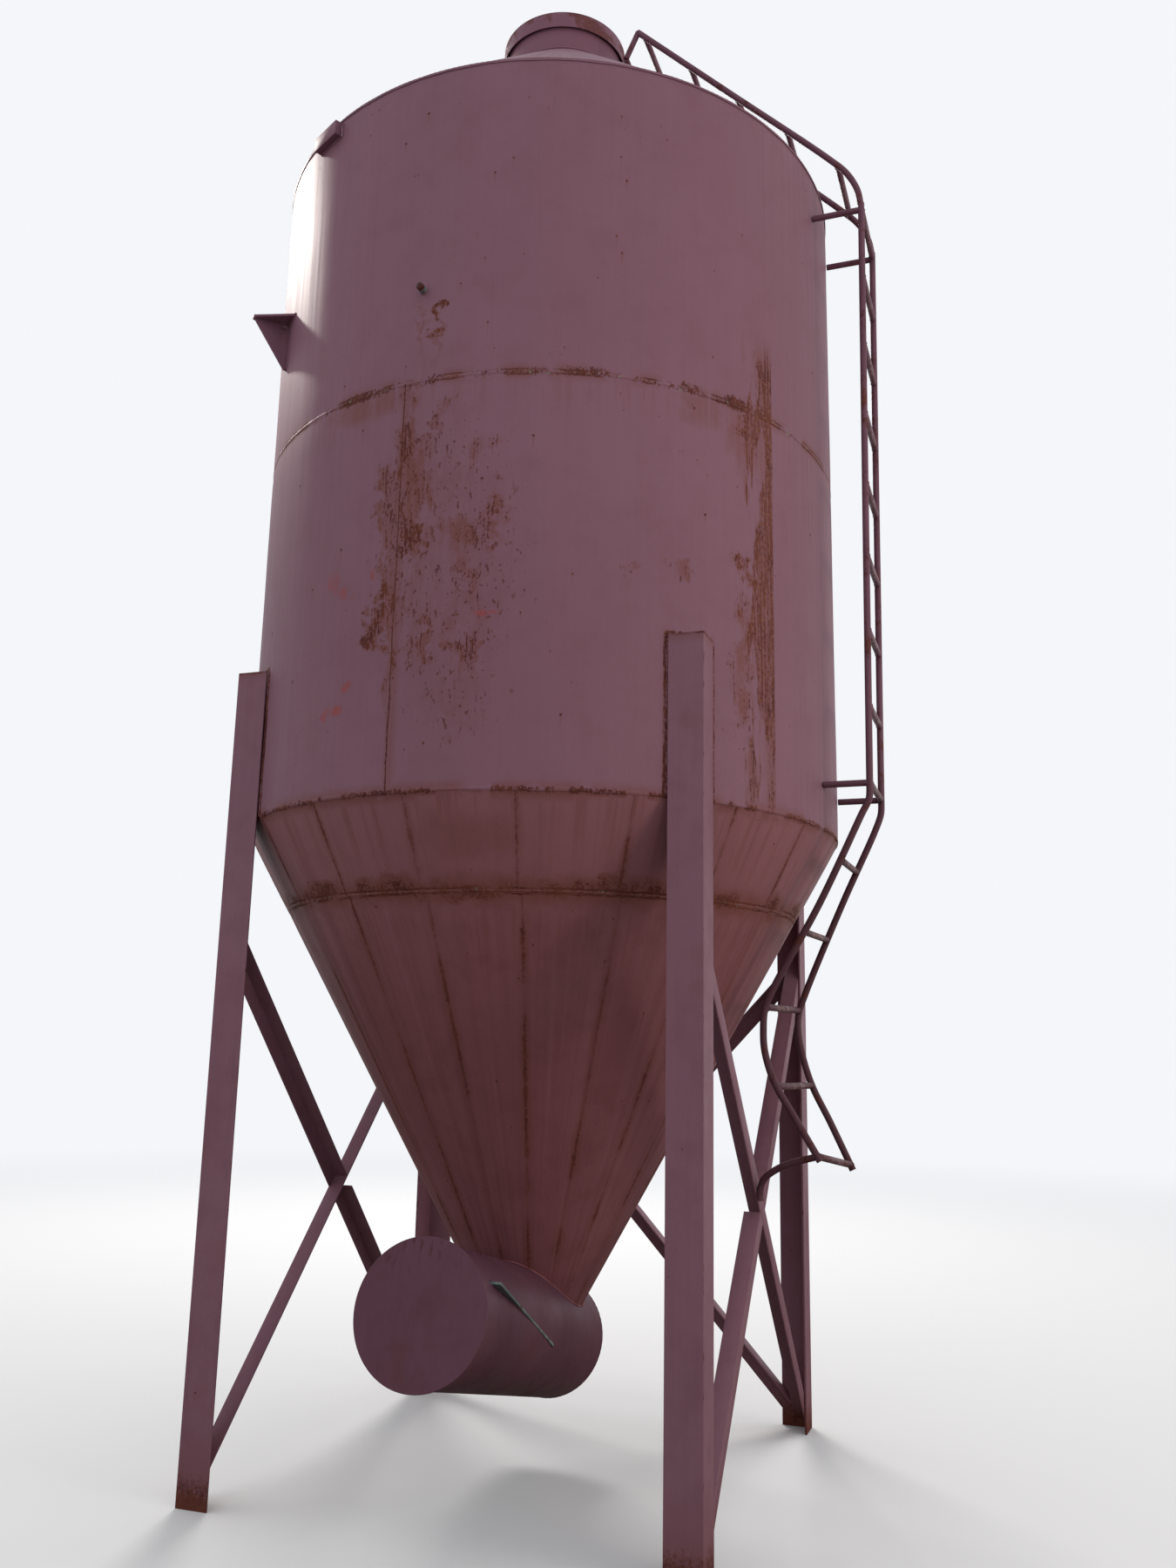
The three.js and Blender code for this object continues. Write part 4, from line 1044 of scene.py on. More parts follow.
def fitting_paint():
    """The wall's paint on the hatch, lugs and brackets, its rose darkened as painted shade, a little chipped
    along their edges.
    """
    paint = Paint("fitting_paint")
    weather(paint, paint.noise((30.0, 30.0, 3.0), 4.0, 0.6), FITTING_SHADED_ROSE, WALL_ROSE, WALL_DEEP, 0.14)
    ragged = paint.noise(80.0, 5.0, 0.72)
    patchy = paint.noise(8.0, 4.0, 0.65)
    pit, pit_run = pits(paint, paint.spot, 14.0, 0.0045, 0.04, ragged)
    rust = most(paint.worn_edge() * patchy.fade(0.50, 0.60) * 0.75, pit)
    paint.coat(most(patchy.fade(0.54, 0.76, 0.0, 0.30), pit_run * 0.5), RUST_STAIN)
    paint.coat(rust * 0.85, rust_color(paint, 0.4, 100.0))
    height = rust * ragged + paint.noise(240.0, 3.0, 0.65) * 0.10
    return paint.end(rust * 0.30 + 0.52, height, 0.0012)


def stud_steel():
    """The stud on the wall: its paint gone, dark grey steel under brown rust."""
    paint = Paint("stud_steel", BARE_GREY)
    ragged = paint.noise(90.0, 5.0, 0.72)
    paint.coat(paint.noise(30.0, 3.0, 0.6).fade(0.38, 0.60), RUST_DARK)
    paint.coat(ragged.fade(0.50, 0.66, 0.0, 0.8), RUST_BROWN)
    return paint.end(ragged.fade(0.35, 0.65, 0.45, 0.85), ragged, 0.0014, 0.8)


def bare_steel():
    """The slide plate: grey steel with a blue-green cast, rusting in patches."""
    paint = Paint("bare_steel", BARE_GREY)
    brushed = paint.noise((60.0, 9.0, 60.0), 4.0, 0.65)
    ragged = paint.noise(90.0, 5.0, 0.72)
    paint.coat(brushed.fade(0.35, 0.68), BARE_LIGHT)
    rust = (ragged * 0.5 + paint.noise(9.0, 4.0, 0.65)).fade(0.82, 0.94)
    paint.coat(rust * 0.9, rust_color(paint, 0.6, 110.0))
    roughness = rust * 0.40 + brushed.fade(0.3, 0.7, 0.40, 0.54)
    return paint.end(roughness, rust * ragged + brushed * 0.2, 0.0010, 0.7, rust.fade(0.6, 0.1, 0.0, 0.35))


# Plates

def facets(seed, first):
    """Where a cone was creased in the brake: azimuths all the way round, a plate seam among them."""
    chance = random.Random(seed)
    places = []
    for plate in range(PLATES):
        inner = [0.0]
        while inner[-1] < PLATE_SWEEP:
            inner.append(inner[-1] + chance.uniform(FACET_MIN, FACET_MAX))
        stretch = PLATE_SWEEP / inner[-1]
        places.extend(first + plate * PLATE_SWEEP + a * stretch for a in inner[:-1])
    places.append(first + 360.0)
    return places


UPPER_CREASES = facets(seed=11, first=UPPER_CONE_SEAM)
LOWER_CREASES = facets(seed=29, first=LOWER_CONE_SEAM)
ROOF_CREASES = facets(seed=47, first=ROOF_SEAM)


def facet_sink(azimuth, creases, radius):
    """How far a nearly flat strip between two creases lies inside the true round."""
    turn = (azimuth - creases[0]) % 360.0 + creases[0]
    for low, high in zip(creases, creases[1:]):
        if low <= turn <= high:
            half = math.radians((high - low) / 2)
            offset = math.radians(turn - (low + high) / 2)
            return radius * (1 - math.cos(half) / math.cos(offset)) * FACET_FLATNESS
    return 0.0


def seam_pull(height, seams):
    """How far a plate is drawn in near its welds."""
    return SEAM_PULL * max(math.exp(-((height - seam) / SEAM_PULL_REACH) ** 2) for seam in seams)


def wall_sink(azimuth, z):
    """The rolled plates wander a little inwards and draw in at the girth welds."""
    spot = on_bin(BIN_R, azimuth, z) / WALL_WAVE_SIZE
    most_wave = 1 + FINE_WAVE
    wave = (noise.noise(spot) + FINE_WAVE * noise.noise(spot * FINE_WAVE_RATIO) + most_wave) / (2 * most_wave)
    return SKIN_SINK + WALL_WAVE * wave + seam_pull(z, [WALL_BOTTOM_Z, WALL_SEAM_Z, EAVE_Z])


def hopper_sink(azimuth, z):
    creases = UPPER_CREASES if z > CONE_SEAM_Z - GAP / 2 else LOWER_CREASES
    wave = (noise.noise(on_bin(BIN_R, azimuth, z) * HOPPER_WAVES_A_METRE) + 1.0) / 2
    return (SKIN_SINK + HOPPER_WAVE * wave + facet_sink(azimuth, creases, hopper_r(z))
            + seam_pull(z, [WALL_BOTTOM_Z, CONE_SEAM_Z]))


def roof_sink(azimuth, radius):
    wave = (noise.noise(on_bin(radius, azimuth, EAVE_Z) * ROOF_WAVES_A_METRE) + 1.0) / 2
    return SKIN_SINK + ROOF_WAVE * wave + facet_sink(azimuth, ROOF_CREASES, radius)


def wall_face(azimuth, z, lift=0.0):
    return on_bin(BIN_R - wall_sink(azimuth, z) + lift, azimuth, z)


def hopper_face(azimuth, z, lift=0.0):
    return on_bin(hopper_r(z) - hopper_sink(azimuth, z) + lift, azimuth, z)


def roof_face(azimuth, radius, lift=0.0):
    return on_bin(radius, azimuth, roof_z(radius) - roof_sink(azimuth, radius) + lift)


def creased_columns(first, creases):
    """Columns of a creased plate: three close together at each crease, the rest evenly in between."""
    for turn in (0.0, 360.0):
        inner = [c + turn for c in creases if first - 0.01 <= c + turn <= first + PLATE_SWEEP + 0.01]
        if len(inner) > 1:
            break
    columns = []
    for low, high in zip(inner, inner[1:]):
        start = low + CREASE_HALF_WIDTH
        end = high - CREASE_HALF_WIDTH
        columns.append(low)
        columns.extend(spread(start, end, max(2, round((end - start) / COLUMN_SWEEP))))
    columns.append(inner[-1])
    return columns


def plate(name, face, thickness, columns, levels):
    """A closed bent plate whose outer skin is the face given."""
    trim = math.degrees(GAP / 2 / BIN_R)
    columns = [columns[0] + trim] + columns[1:-1] + [columns[-1] - trim]
    across = len(columns)
    shift = across * len(levels)
    places = [(azimuth, level) for level in levels for azimuth in columns]
    points = [face(azimuth, level, lift) for lift in (0.0, -thickness) for azimuth, level in places]
    faces = []
    for start in range(0, shift - across, across):
        for k in range(start, start + across - 1):
            faces.append((k, k + 1, k + 1 + across, k + across))
            faces.append(tuple(shift + corner for corner in reversed(faces[-1])))
    bottom = list(range(across - 1))
    right = list(range(across - 1, shift - 1, across))
    top = list(range(shift - 1, shift - across, -1))
    left = list(range(shift - across, 0, -across))
    rim = bottom + right + top + left
    faces += [(b, a, shift + a, shift + b) for a, b in zip(rim, rim[1:] + rim[:1])]
    piece = add_mesh(name, points, faces)
    rework(piece.data, turn_out)
    return piece


def seam_levels(low, high, count):
    """Levels of a plate, closer together at its two welds."""
    inner = spread(low + NEAR_SEAM[-1] * 2, high - NEAR_SEAM[-1] * 2, count)
    return [low + n for n in NEAR_SEAM] + inner + [high - n for n in reversed(NEAR_SEAM)]


def add_walls(paint):
    for course, low, high, first in (("lower", WALL_BOTTOM_Z, WALL_SEAM_Z - GAP, LOWER_WALL_SEAM),
                                     ("upper", WALL_SEAM_Z, EAVE_Z - GAP, UPPER_WALL_SEAM)):
        for k in range(PLATES):
            start = first + k * PLATE_SWEEP
            columns = spread(start, start + PLATE_SWEEP, WALL_COLUMNS)
            piece = plate(f"{course}_wall_plate_{k + 1}", wall_face, PLATE_T, columns,
                          seam_levels(low, high, WALL_ROWS))
            finish(piece, paint, [f"wall_{course}_{k + 1}"])


def add_hopper(paint):
    upper = spread(CONE_SEAM_Z, WALL_BOTTOM_Z - GAP, CONE_ROWS)
    lower = spread(CONE_BOTTOM_Z, CONE_SEAM_Z - GAP, 2 * CONE_ROWS)
    for course, first, creases, levels in (("upper", UPPER_CONE_SEAM, UPPER_CREASES, upper),
                                           ("lower", LOWER_CONE_SEAM, LOWER_CREASES, lower)):
        for k in range(PLATES):
            columns = creased_columns(first + k * PLATE_SWEEP, creases)
            piece = plate(f"{course}_hopper_plate_{k + 1}", hopper_face, HOPPER_T_ACROSS, columns, levels)
            if course == "lower":
                cut(piece, boot_rod("boot_clearance", BOOT_R + GAP, -BOOT_LENGTH, 2 * BOOT_LENGTH))
            finish(piece, paint, [f"hopper_{course}_{k + 1}"])


def add_roof(paint):
    for k in range(PLATES):
        columns = creased_columns(ROOF_SEAM + k * PLATE_SWEEP, ROOF_CREASES)
        radii = spread(BIN_R - SKIN_SINK, COLLAR_R + GAP, ROOF_ROWS)
        piece = plate(f"roof_plate_{k + 1}", roof_face, ROOF_T_UPRIGHT, columns, radii)
        finish(piece, paint, [f"roof_{k + 1}"])


# Hatch

def arc(center_r, center_z, radius, start, end, count=4):
    angles = [math.radians(a) for a in spread(start, end, count)]
    return [(center_r + radius * math.cos(a), center_z + radius * math.sin(a)) for a in angles]


def add_collar(paint):
    top = LID_TOP_Z - LID_T - LID_CLEARANCE
    low = roof_z(COLLAR_R + GAP) - COLLAR_BELOW_ROOF
    edge = COLLAR_T / 2
    rim = arc(COLLAR_R - edge, top - edge, edge, 0, 180, 6)
    profile = [(COLLAR_R, low)] + rim + [(COLLAR_R - COLLAR_T, low)]
    finish(turned("hatch_neck", profile, ROUND_STEPS, Matrix.Translation(AXIS)), paint, ["hatch_collar"])


def add_lid(paint):
    """A pressed lid with a turned-down skirt and a slight crown."""
    inner = LID_R - LID_T
    rim_z = LID_TOP_Z - LID_CROWN - LID_EDGE_R
    crown = [(LID_R * share, LID_TOP_Z - LID_CROWN * share ** 2) for share in LID_CROWN_SHARES]
    under = [(r * inner / LID_R, z - LID_T) for r, z in reversed(crown)]
    outside = arc(LID_R - LID_EDGE_R, rim_z, LID_EDGE_R, 80, 0, 5)
    inside = arc(inner - LID_EDGE_R, rim_z - LID_T, LID_EDGE_R, 0, 80, 4)
    ease_z = LID_SKIRT_Z + LID_SKIRT_EDGE
    skirt = [(LID_R, LID_SKIRT_MIDDLE_Z), (LID_R, ease_z), (LID_R - LID_SKIRT_EDGE, LID_SKIRT_Z),
             (inner + LID_SKIRT_EDGE, LID_SKIRT_Z), (inner, ease_z), (inner, LID_SKIRT_MIDDLE_Z)]
    profile = crown + outside + skirt + inside + under
    piece = turned("hatch_cover", profile, ROUND_STEPS, Matrix.Translation(AXIS))
    mark_worn(piece, lambda c: (c.z < LID_SKIRT_Z + LID_WORN_HEIGHT
                                or abs((c - AXIS).xy.length - LID_R) < LID_WORN_WIDTH))
    finish(piece, paint, ["hatch_lid"], "hatch_lid")


def add_strap(paint):
    """The lid's half of the hinge: a strap down from its edge, and the knuckle on the pin."""
    half = KNUCKLE_HALF_WIDTH
    corners = [AXIS + Vector((x, y, z)) for y in (-half, half) for x, z in STRAP_OUTLINE]
    strap = prism("hatch_hinge_strap", corners)
    rework(strap.data, lambda tool: ease(tool, SMALL_EDGE))
    cut(strap, turned("strap_bore", rod_profile(HINGE_BORE_R, 4 * half), HINGE_STEPS, along_hinge(-2 * half)))
    finish(strap, paint, body="hatch_lid")
    edge = KNUCKLE_EDGE
    profile = [(KNUCKLE_R - edge, 0.0), (KNUCKLE_R, edge), (KNUCKLE_R, 2 * half - edge),
               (KNUCKLE_R - edge, 2 * half), (HINGE_BORE_R, 2 * half), (HINGE_BORE_R, 0.0)]
    finish(turned("hatch_hinge_knuckle", profile, HINGE_STEPS, along_hinge(-half)), paint, body="hatch_lid")


def along_hinge(low_y):
    """The frame of something round on the hinge's axis, its height running along +Y."""
    return Matrix.Translation(AXIS + Vector((HINGE_X, low_y, HINGE_Z))) @ HEIGHT_TO_Y


def add_hinge(paint):
    dressed_copy("hatch_hinge_ears", "hatch_hinge_bracket", KNUCKLE_EDGE, paint, 1)
    profile = rod_profile(HINGE_PIN_R, HINGE_PIN_LENGTH, SMALL_EDGE)
    pin = turned("hinge_rod_pin", profile, HINGE_STEPS, along_hinge(-HINGE_PIN_LENGTH / 2))
    finish(pin, paint, ["hatch_hinge_pin"])


# Legs and braces

def angle_section():
    """A rolled equal angle: near-square heel, rounded toes and a fillet at the root."""
    flange = [(LEG_HEEL_R, 0.0), (LEG_WIDTH - LEG_EDGE_R, 0.0), (LEG_WIDTH, LEG_EDGE_R)]
    toe = arc(LEG_WIDTH - LEG_TOE_R, LEG_T - LEG_TOE_R, LEG_TOE_R, 0, 90, 4)
    root = arc(LEG_T + LEG_ROOT_R, LEG_T + LEG_ROOT_R, LEG_ROOT_R, 270, 180, 5)
    half = flange + toe + root[:3]
    return half + [(b, a) for a, b in reversed(half)]


def add_legs(paint):
    """Angle-iron legs, corner outwards, their toes against the wall."""
    section = angle_section()
    levels = spread(0.0, LEG_TOP_Z, LEG_ROWS)
    toe = LEG_CORNER - LEG_WIDTH + LEG_TOE_R
    heel = LEG_CORNER - LEG_HEEL_R

    def is_worn(center):
        nearer = min(abs(center.x - AXIS.x), abs(center.y - AXIS.y))
        return nearer < toe or nearer > heel

    for place, (side_x, side_y) in LEG_SIDES.items():
        points = [AXIS + Vector((side_x * (LEG_CORNER - a), side_y * (LEG_CORNER - b), z))
                  for z in levels for a, b in section]
        bottom = tuple(range(len(section)))
        top = tuple(range(len(points) - len(section), len(points)))
        piece = add_mesh(f"{place}_leg_angle", points, ring_faces(len(section), len(levels)) + [bottom, top])
        rework(piece.data, close_up)
        mark_worn(piece, is_worn)
        finish(piece, paint, [f"leg_{place}"], angle=LEG_SHARP_ANGLE)


def add_braces(paint):
    for side in ("right", "left", "back"):
        for part in ("whole", "lower", "upper"):
            dressed_copy(f"{side}_bay_brace_{part}", f"brace_{side}_{part}", ROLLED_EDGE, paint)


# Boot

def boot_place():
    return Matrix.Translation(AXIS + BOOT_FRONT) @ Matrix.Rotation(math.radians(-BOOT_TILT), 4, "X")


def along_boot(start):
    """The frame of something round on the boot's axis, its height running back along the barrel."""
    return boot_place() @ Matrix.Translation((0.0, start, 0.0)) @ HEIGHT_TO_Y


def boot_rod(name, radius, start, length, edge=0.0):
    return turned(name, rod_profile(radius, length, edge), ROUND_STEPS, along_boot(start))


def slot_block():
    """What the slide plate's slot takes out of the right side of the barrel."""
    half = (SLOT_END - SLOT_START) / math.cos(SLOT_TILT) / 2
    half_t = SLIDE_T / 2 + GAP
    middle = Vector((0.0, (SLOT_START + SLOT_END) / 2, (SLOT_START_RISE + SLOT_END_RISE) / 2))
    place = boot_place() @ Matrix.Translation(middle) @ Matrix.Rotation(-SLOT_TILT, 4, "X")
    outline = [(-half, -half_t), (half, -half_t), (half, half_t), (-half, half_t)]
    return prism("slot_block", [place @ Vector((x, y, z)) for x in (0.0, 2 * BOOT_R) for y, z in outline])


def hopper_inside():
    """The room inside the hopper, which the barrel is open to."""
    low = hopper_r(CONE_BOTTOM_Z) - HOPPER_T_ACROSS
    profile = [(0.0, CONE_BOTTOM_Z), (low, CONE_BOTTOM_Z), (BIN_R - HOPPER_T_ACROSS, WALL_BOTTOM_Z),
               (0.0, WALL_BOTTOM_Z)]
    return turned("hopper_inside", profile, 2 * ROUND_STEPS, Matrix.Translation(AXIS))


def add_boot(paint, steel):
    rows = spread(0.0, BOOT_LENGTH, BARREL_ROWS)
    profile = [(BOOT_R, y) for y in rows] + [(BOOT_R - BOOT_T, y) for y in reversed(rows)]
    barrel = turned("boot_tube", profile, ROUND_STEPS, along_boot(0.0))
    cut(barrel, hopper_inside(), slot_block())
    finish(barrel, paint, ["boot_barrel"])
    into_boot = boot_place().inverted()
    for name, node, radius, start, thickness in (
            ("boot_front_lid", "boot_lid", BOOT_LID_R, -GAP - BOOT_LID_T, BOOT_LID_T),
            ("boot_back_end", "boot_end", BOOT_R, BOOT_LENGTH + GAP, BOOT_END_T)):
        disc = boot_rod(name, radius, start, thickness, BOOT_EDGE_R)
        mark_worn(disc, lambda c: (into_boot @ c).xz.length > radius - BOOT_WORN_WIDTH)
        finish(disc, paint, [node])
    dressed_copy("boot_slide", "boot_slide_plate", SMALL_EDGE, steel, 1)


# Ladder

def rounded_route(points):
    """A smooth line through the points, spaced by the square root of their distances."""
    last = len(points) - 1
    padded = [points[0] * 2 - points[1]] + points + [points[last] * 2 - points[last - 1]]
    route = []
    for span in range(last):
        a, b, c, d = padded[span:span + 4]
        before = (b - a).length ** 0.5
        during = (c - b).length ** 0.5
        after = (d - c).length ** 0.5
        leave = ((b - a) / before - (c - a) / (before + during) + (c - b) / during) * during
        arrive = ((c - b) / during - (d - b) / (during + after) + (d - c) / after) * during
        for k in range(ROUTE_STEPS):
            t = k / ROUTE_STEPS
            cubic = (b * 2 - c * 2 + leave + arrive) * t ** 3
            square = (c * 3 - b * 3 - leave * 2 - arrive) * t ** 2
            route.append(cubic + square + leave * t + b)
    route.append(points[last])
    return route


def stiles(front, back):
    """The points of the front and the back stile, put in their places."""
    return [[AXIS + Vector((x - STILE_INSET, side * LADDER_HALF_WIDTH, z)) for x, z in points]
            for side, points in ((-1, front), (1, back))]


def at_height(route, z):
    for a, b in zip(route, route[1:]):
        if (a.z - z) * (b.z - z) <= 0 and a.z != b.z:
            return a.lerp(b, (a.z - z) / (a.z - b.z))
    return route[-1]


def at_length(route, distance):
    for a, b in zip(route, route[1:]):
        step = (b - a).length
        if distance <= step:
            return a.lerp(b, distance / step)
        distance -= step
    return route[-1]


def trimmed(route, low_z, high_z):
    """The part of a falling route between two levels, ending exactly on them."""
    inner = [p for p in route if low_z < p.z < high_z]
    if route[0].z > high_z:
        inner.insert(0, at_height(route, high_z))
    if route[-1].z < low_z:
        inner.append(at_height(route, low_z))
    return inner


def rung_welds(rungs):
    """Rings of weld round the ends of the rungs, where they meet the stiles."""
    rings = []
    for start, end in rungs:
        along = (end - start).normalized()
        across = along.cross(Vector((0.0, 0.0, 1.0))).normalized()
        upward = across.cross(along)
        for place in (start + along * STILE_R, end - along * STILE_R):
            ring = [place + across * x + upward * y for x, y in circle(RUNG_R, RUNG_WELD_POINTS)]
            rings.append((ring, True))
    return rings


def add_bars(name, lines, radius, round_bar, paint, nodes=()):
    piece = line_mesh(name, [(line, False) for line in lines])
    round_bar.grow(piece, Radius=radius, Material=paint)
    finish(piece, paint, nodes)


def ladder_run(name, lines, limits, rungs, bars, node, round_bar, bead, paint):
    """One run of the ladder: its stiles, then its rungs and bars, then the welds between them."""
    add_bars(name, [trimmed(line, *limits) for line in lines], STILE_R, round_bar, paint, [node])
    add_bars(f"{name}_rungs", rungs + bars, RUNG_R, round_bar, paint)
    welds = line_mesh(f"{name}_welds", rung_welds(rungs))
    bead.grow(welds, Radius=RUNG_WELD_R, Flatness=1.0, Pitch=RUNG_WELD_PITCH, Material=paint)
    finish(welds, paint)


def add_roof_ladder(round_bar, bead, paint):
    front, back = (rounded_route(line) for line in stiles(ROOF_STILE, ROOF_STILE))
    places = [FIRST_ROOF_RUNG + k * RUNG_PITCH for k in range(ROOF_RUNGS)]
    rungs = [(at_length(front, along), at_length(back, along)) for along in places]
    bar_z = roof_z(STRUT_FOOT_X) + (RUNG_R + GAP) / math.cos(math.radians(ROOF_ANGLE))
    feet = [AXIS + Vector((STRUT_FOOT_X, side * LADDER_HALF_WIDTH, bar_z)) for side in (-1, 1)]
    bars = [(front[0], feet[0]), (back[0], feet[1]), (feet[0], feet[1])]
    ladder_run("roof_ladder", (front, back), (ROOF_RUN_END_Z, LID_TOP_Z), rungs, bars, "ladder_roof_run",
               round_bar, bead, paint)


def add_wall_ladder(round_bar, bead, paint):
    front, back = stiles(WALL_STILE, WALL_STILE)
    levels = [LOWEST_WALL_RUNG_Z + k * RUNG_PITCH for k in range(WALL_RUNGS)]
    rungs = [(at_height(front, z), at_height(back, z)) for z in levels]
    outer = [at_height(line, z) for z in STANDOFF_LEVELS for line in (front, back)]
    reach = AXIS.x + math.sqrt(BIN_R ** 2 - LADDER_HALF_WIDTH ** 2)
    bars = [(point, Vector((reach, point.y, point.z))) for point in outer]
    ladder_run("wall_ladder", (front, back), (WALL_RUN_END_Z, ROOF_RUN_END_Z - GAP), rungs, bars,
               "ladder_wall_run", round_bar, bead, paint)


def add_hopper_ladder(round_bar, bead, paint):
    front, back = (rounded_route(line) for line in stiles(HOPPER_STILE_FRONT, HOPPER_STILE_BACK))
    rungs = [(at_height(front, z), at_height(back, z)) for z in HOPPER_RUNG_LEVELS]
    rungs.append(tuple(AXIS + Vector((x, side * LADDER_HALF_WIDTH, z))
                       for side, (x, z) in zip((-1, 1), BOTTOM_RUNG)))
    ladder_run("hopper_ladder", (front, back), (0.0, WALL_RUN_END_Z - GAP), rungs, [], "ladder_hopper_run",
               round_bar, bead, paint)


def add_foot_stay(round_bar, paint):
    """The bent pipe that steadies the ladder's foot."""
    route = rounded_route([AXIS + Vector((x, y, z)) for y, x, z in FOOT_PIPE])
    start = at_length(route, STILE_R - TOUCH)
    shown = [start] + [p for p in route if (p - route[0]).length > (start - route[0]).length]
    add_bars("foot_stay_pipe", [shown], RUNG_R, round_bar, paint, ["ladder_foot_stay"])


# Small things on the wall

def add_fittings(paint, stud):
    dressed_copy("front_left_lifting_lug", "wall_lug_front_left", ROLLED_EDGE, paint)
    dressed_copy("back_right_lifting_lug", "wall_lug_back_right", ROLLED_EDGE, paint)
    dressed_copy("eave_channel", "eave_bracket", SMALL_EDGE, paint)
    dressed_copy("wall_stud", "wall_peg", ROLLED_EDGE, stud)


# Welds

def girth(face, level, lift=-BEAD_SINK, count=GIRTH_POINTS):
    return [face(k * 360.0 / count, level, lift) for k in range(count)], True


def true_round(azimuth, radius, z):
    return on_bin(radius, azimuth, z)


def run_down(face, azimuth, start, end, lift=-BEAD_SINK, count=60):
    return [face(azimuth, level, lift) for level in spread(start, end, count)], False


def run_round(azimuth, half, z, count):
    """A short level line on the wall, to either side of an azimuth."""
    return [wall_face(azimuth + turn, z, ON_WALL) for turn in spread(-half, half, 2 * count)], False


def add_bead(name, lines, radius, flatness, bead, paint, lean=0.0):
    piece = line_mesh(name, lines, math.radians(lean))
    bead.grow(piece, Radius=radius, Flatness=flatness, Pitch=BEAD_PITCH, Material=paint)
    finish(piece, paint, angle=BEAD_SHARP_ANGLE)


def add_wall_welds(bead, paint):
    turns = [k * PLATE_SWEEP for k in range(PLATES)]
    lines = [girth(wall_face, WALL_SEAM_Z), girth(wall_face, WALL_BOTTOM_Z + WALL_FOOT_WELD_RISE)]
    add_bead("girth_welds", lines, BEAD_R, BEAD_FLATNESS, bead, paint)
    lines = [run_down(wall_face, LOWER_WALL_SEAM + turn, WALL_SEAM_Z, WALL_BOTTOM_Z) for turn in turns]
    add_bead("lower_upright_welds", lines, BEAD_R, BEAD_FLATNESS, bead, paint)
    lines = [run_down(wall_face, UPPER_WALL_SEAM + turn, EAVE_Z - BEAD_R, WALL_SEAM_Z, -BEAD_SINK / 2)
             for turn in turns]
    add_bead("upper_upright_welds", lines, BEAD_R, FLUSH_BEAD_FLATNESS, bead, paint)
    lines = [girth(true_round, BIN_R - EAVE_BEAD_INSET, EAVE_Z - TOUCH),
             girth(true_round, COLLAR_R + TOUCH, roof_z(COLLAR_R) + TOUCH, RING_POINTS)]
    add_bead("eave_and_neck_welds", lines, EAVE_BEAD_R, 1.0, bead, paint)
    lines = [run_down(roof_face, ROOF_SEAM + turn, COLLAR_R, BIN_R - BEAD_R) for turn in turns]
    add_bead("roof_welds", lines, BEAD_R, BEAD_FLATNESS, bead, paint, 90.0 - ROOF_ANGLE)


def boot_seam():
    """Where the hopper meets the outside of the barrel, all the way round."""
    into_boot = boot_place().inverted()

    def is_inside(azimuth, z):
        return (into_boot @ on_bin(hopper_r(z), azimuth, z)).xz.length < BOOT_R

    levels = [WALL_BOTTOM_Z - k * BOOT_SEAM_STEP for k in range(BOOT_SEAM_LEVELS)]
    loop = []
    for k in range(BOOT_SEAM_POINTS):
        azimuth = k * 360.0 / BOOT_SEAM_POINTS
        low = next((z for z in levels if z >= CONE_BOTTOM_Z and is_inside(azimuth, z)), None)
        if low is None:
            continue
        high = low + BOOT_SEAM_STEP
        for _ in range(HALVINGS):
            middle = (low + high) / 2
            if is_inside(azimuth, middle):
                low = middle
            else:
                high = middle
        loop.append(on_bin(hopper_r(high), azimuth, high))
    return loop, len(loop) == BOOT_SEAM_POINTS


def add_hopper_welds(bead, paint):
    upper = [UPPER_CONE_SEAM + k * 360.0 / GORES for k in range(GORES)]
    upper += [UPPER_CONE_SEAM + k * PLATE_SWEEP for k in range(1, PLATES)]
    lower = [LOWER_CONE_SEAM + k * PLATE_SWEEP for k in range(PLATES)]
    lines = [girth(hopper_face, CONE_SEAM_Z)]
    lines += [run_down(hopper_face, azimuth, WALL_BOTTOM_Z, CONE_SEAM_Z, count=16) for azimuth in upper]
    lines += [run_down(hopper_face, azimuth, CONE_SEAM_Z, LOWER_CONE_WELD_END_Z) for azimuth in lower]
    add_bead("hopper_welds", lines, SMALL_BEAD_R, SMALL_BEAD_FLATNESS, bead, paint, -HOPPER_ANGLE)
    add_bead("boot_seam_weld", [boot_seam()], SMALL_BEAD_R, 1.0, bead, paint)


def add_leg_welds(bead, paint):
    lines = []
    toe = LEG_CORNER - LEG_WIDTH - TOUCH
    face = LEG_CORNER - LEG_T / 2
    for side_x in (-1, 1):
        for side_y in (-1, 1):
            for x, y in ((toe, face), (face, toe)):
                azimuth = math.degrees(math.atan2(side_x * x, -side_y * y))
                lines.append(run_down(wall_face, azimuth, LEG_TOP_Z, WALL_BOTTOM_Z, ON_WALL, 40))
    add_bead("leg_welds", lines, SMALL_BEAD_R, 1.0, bead, paint)


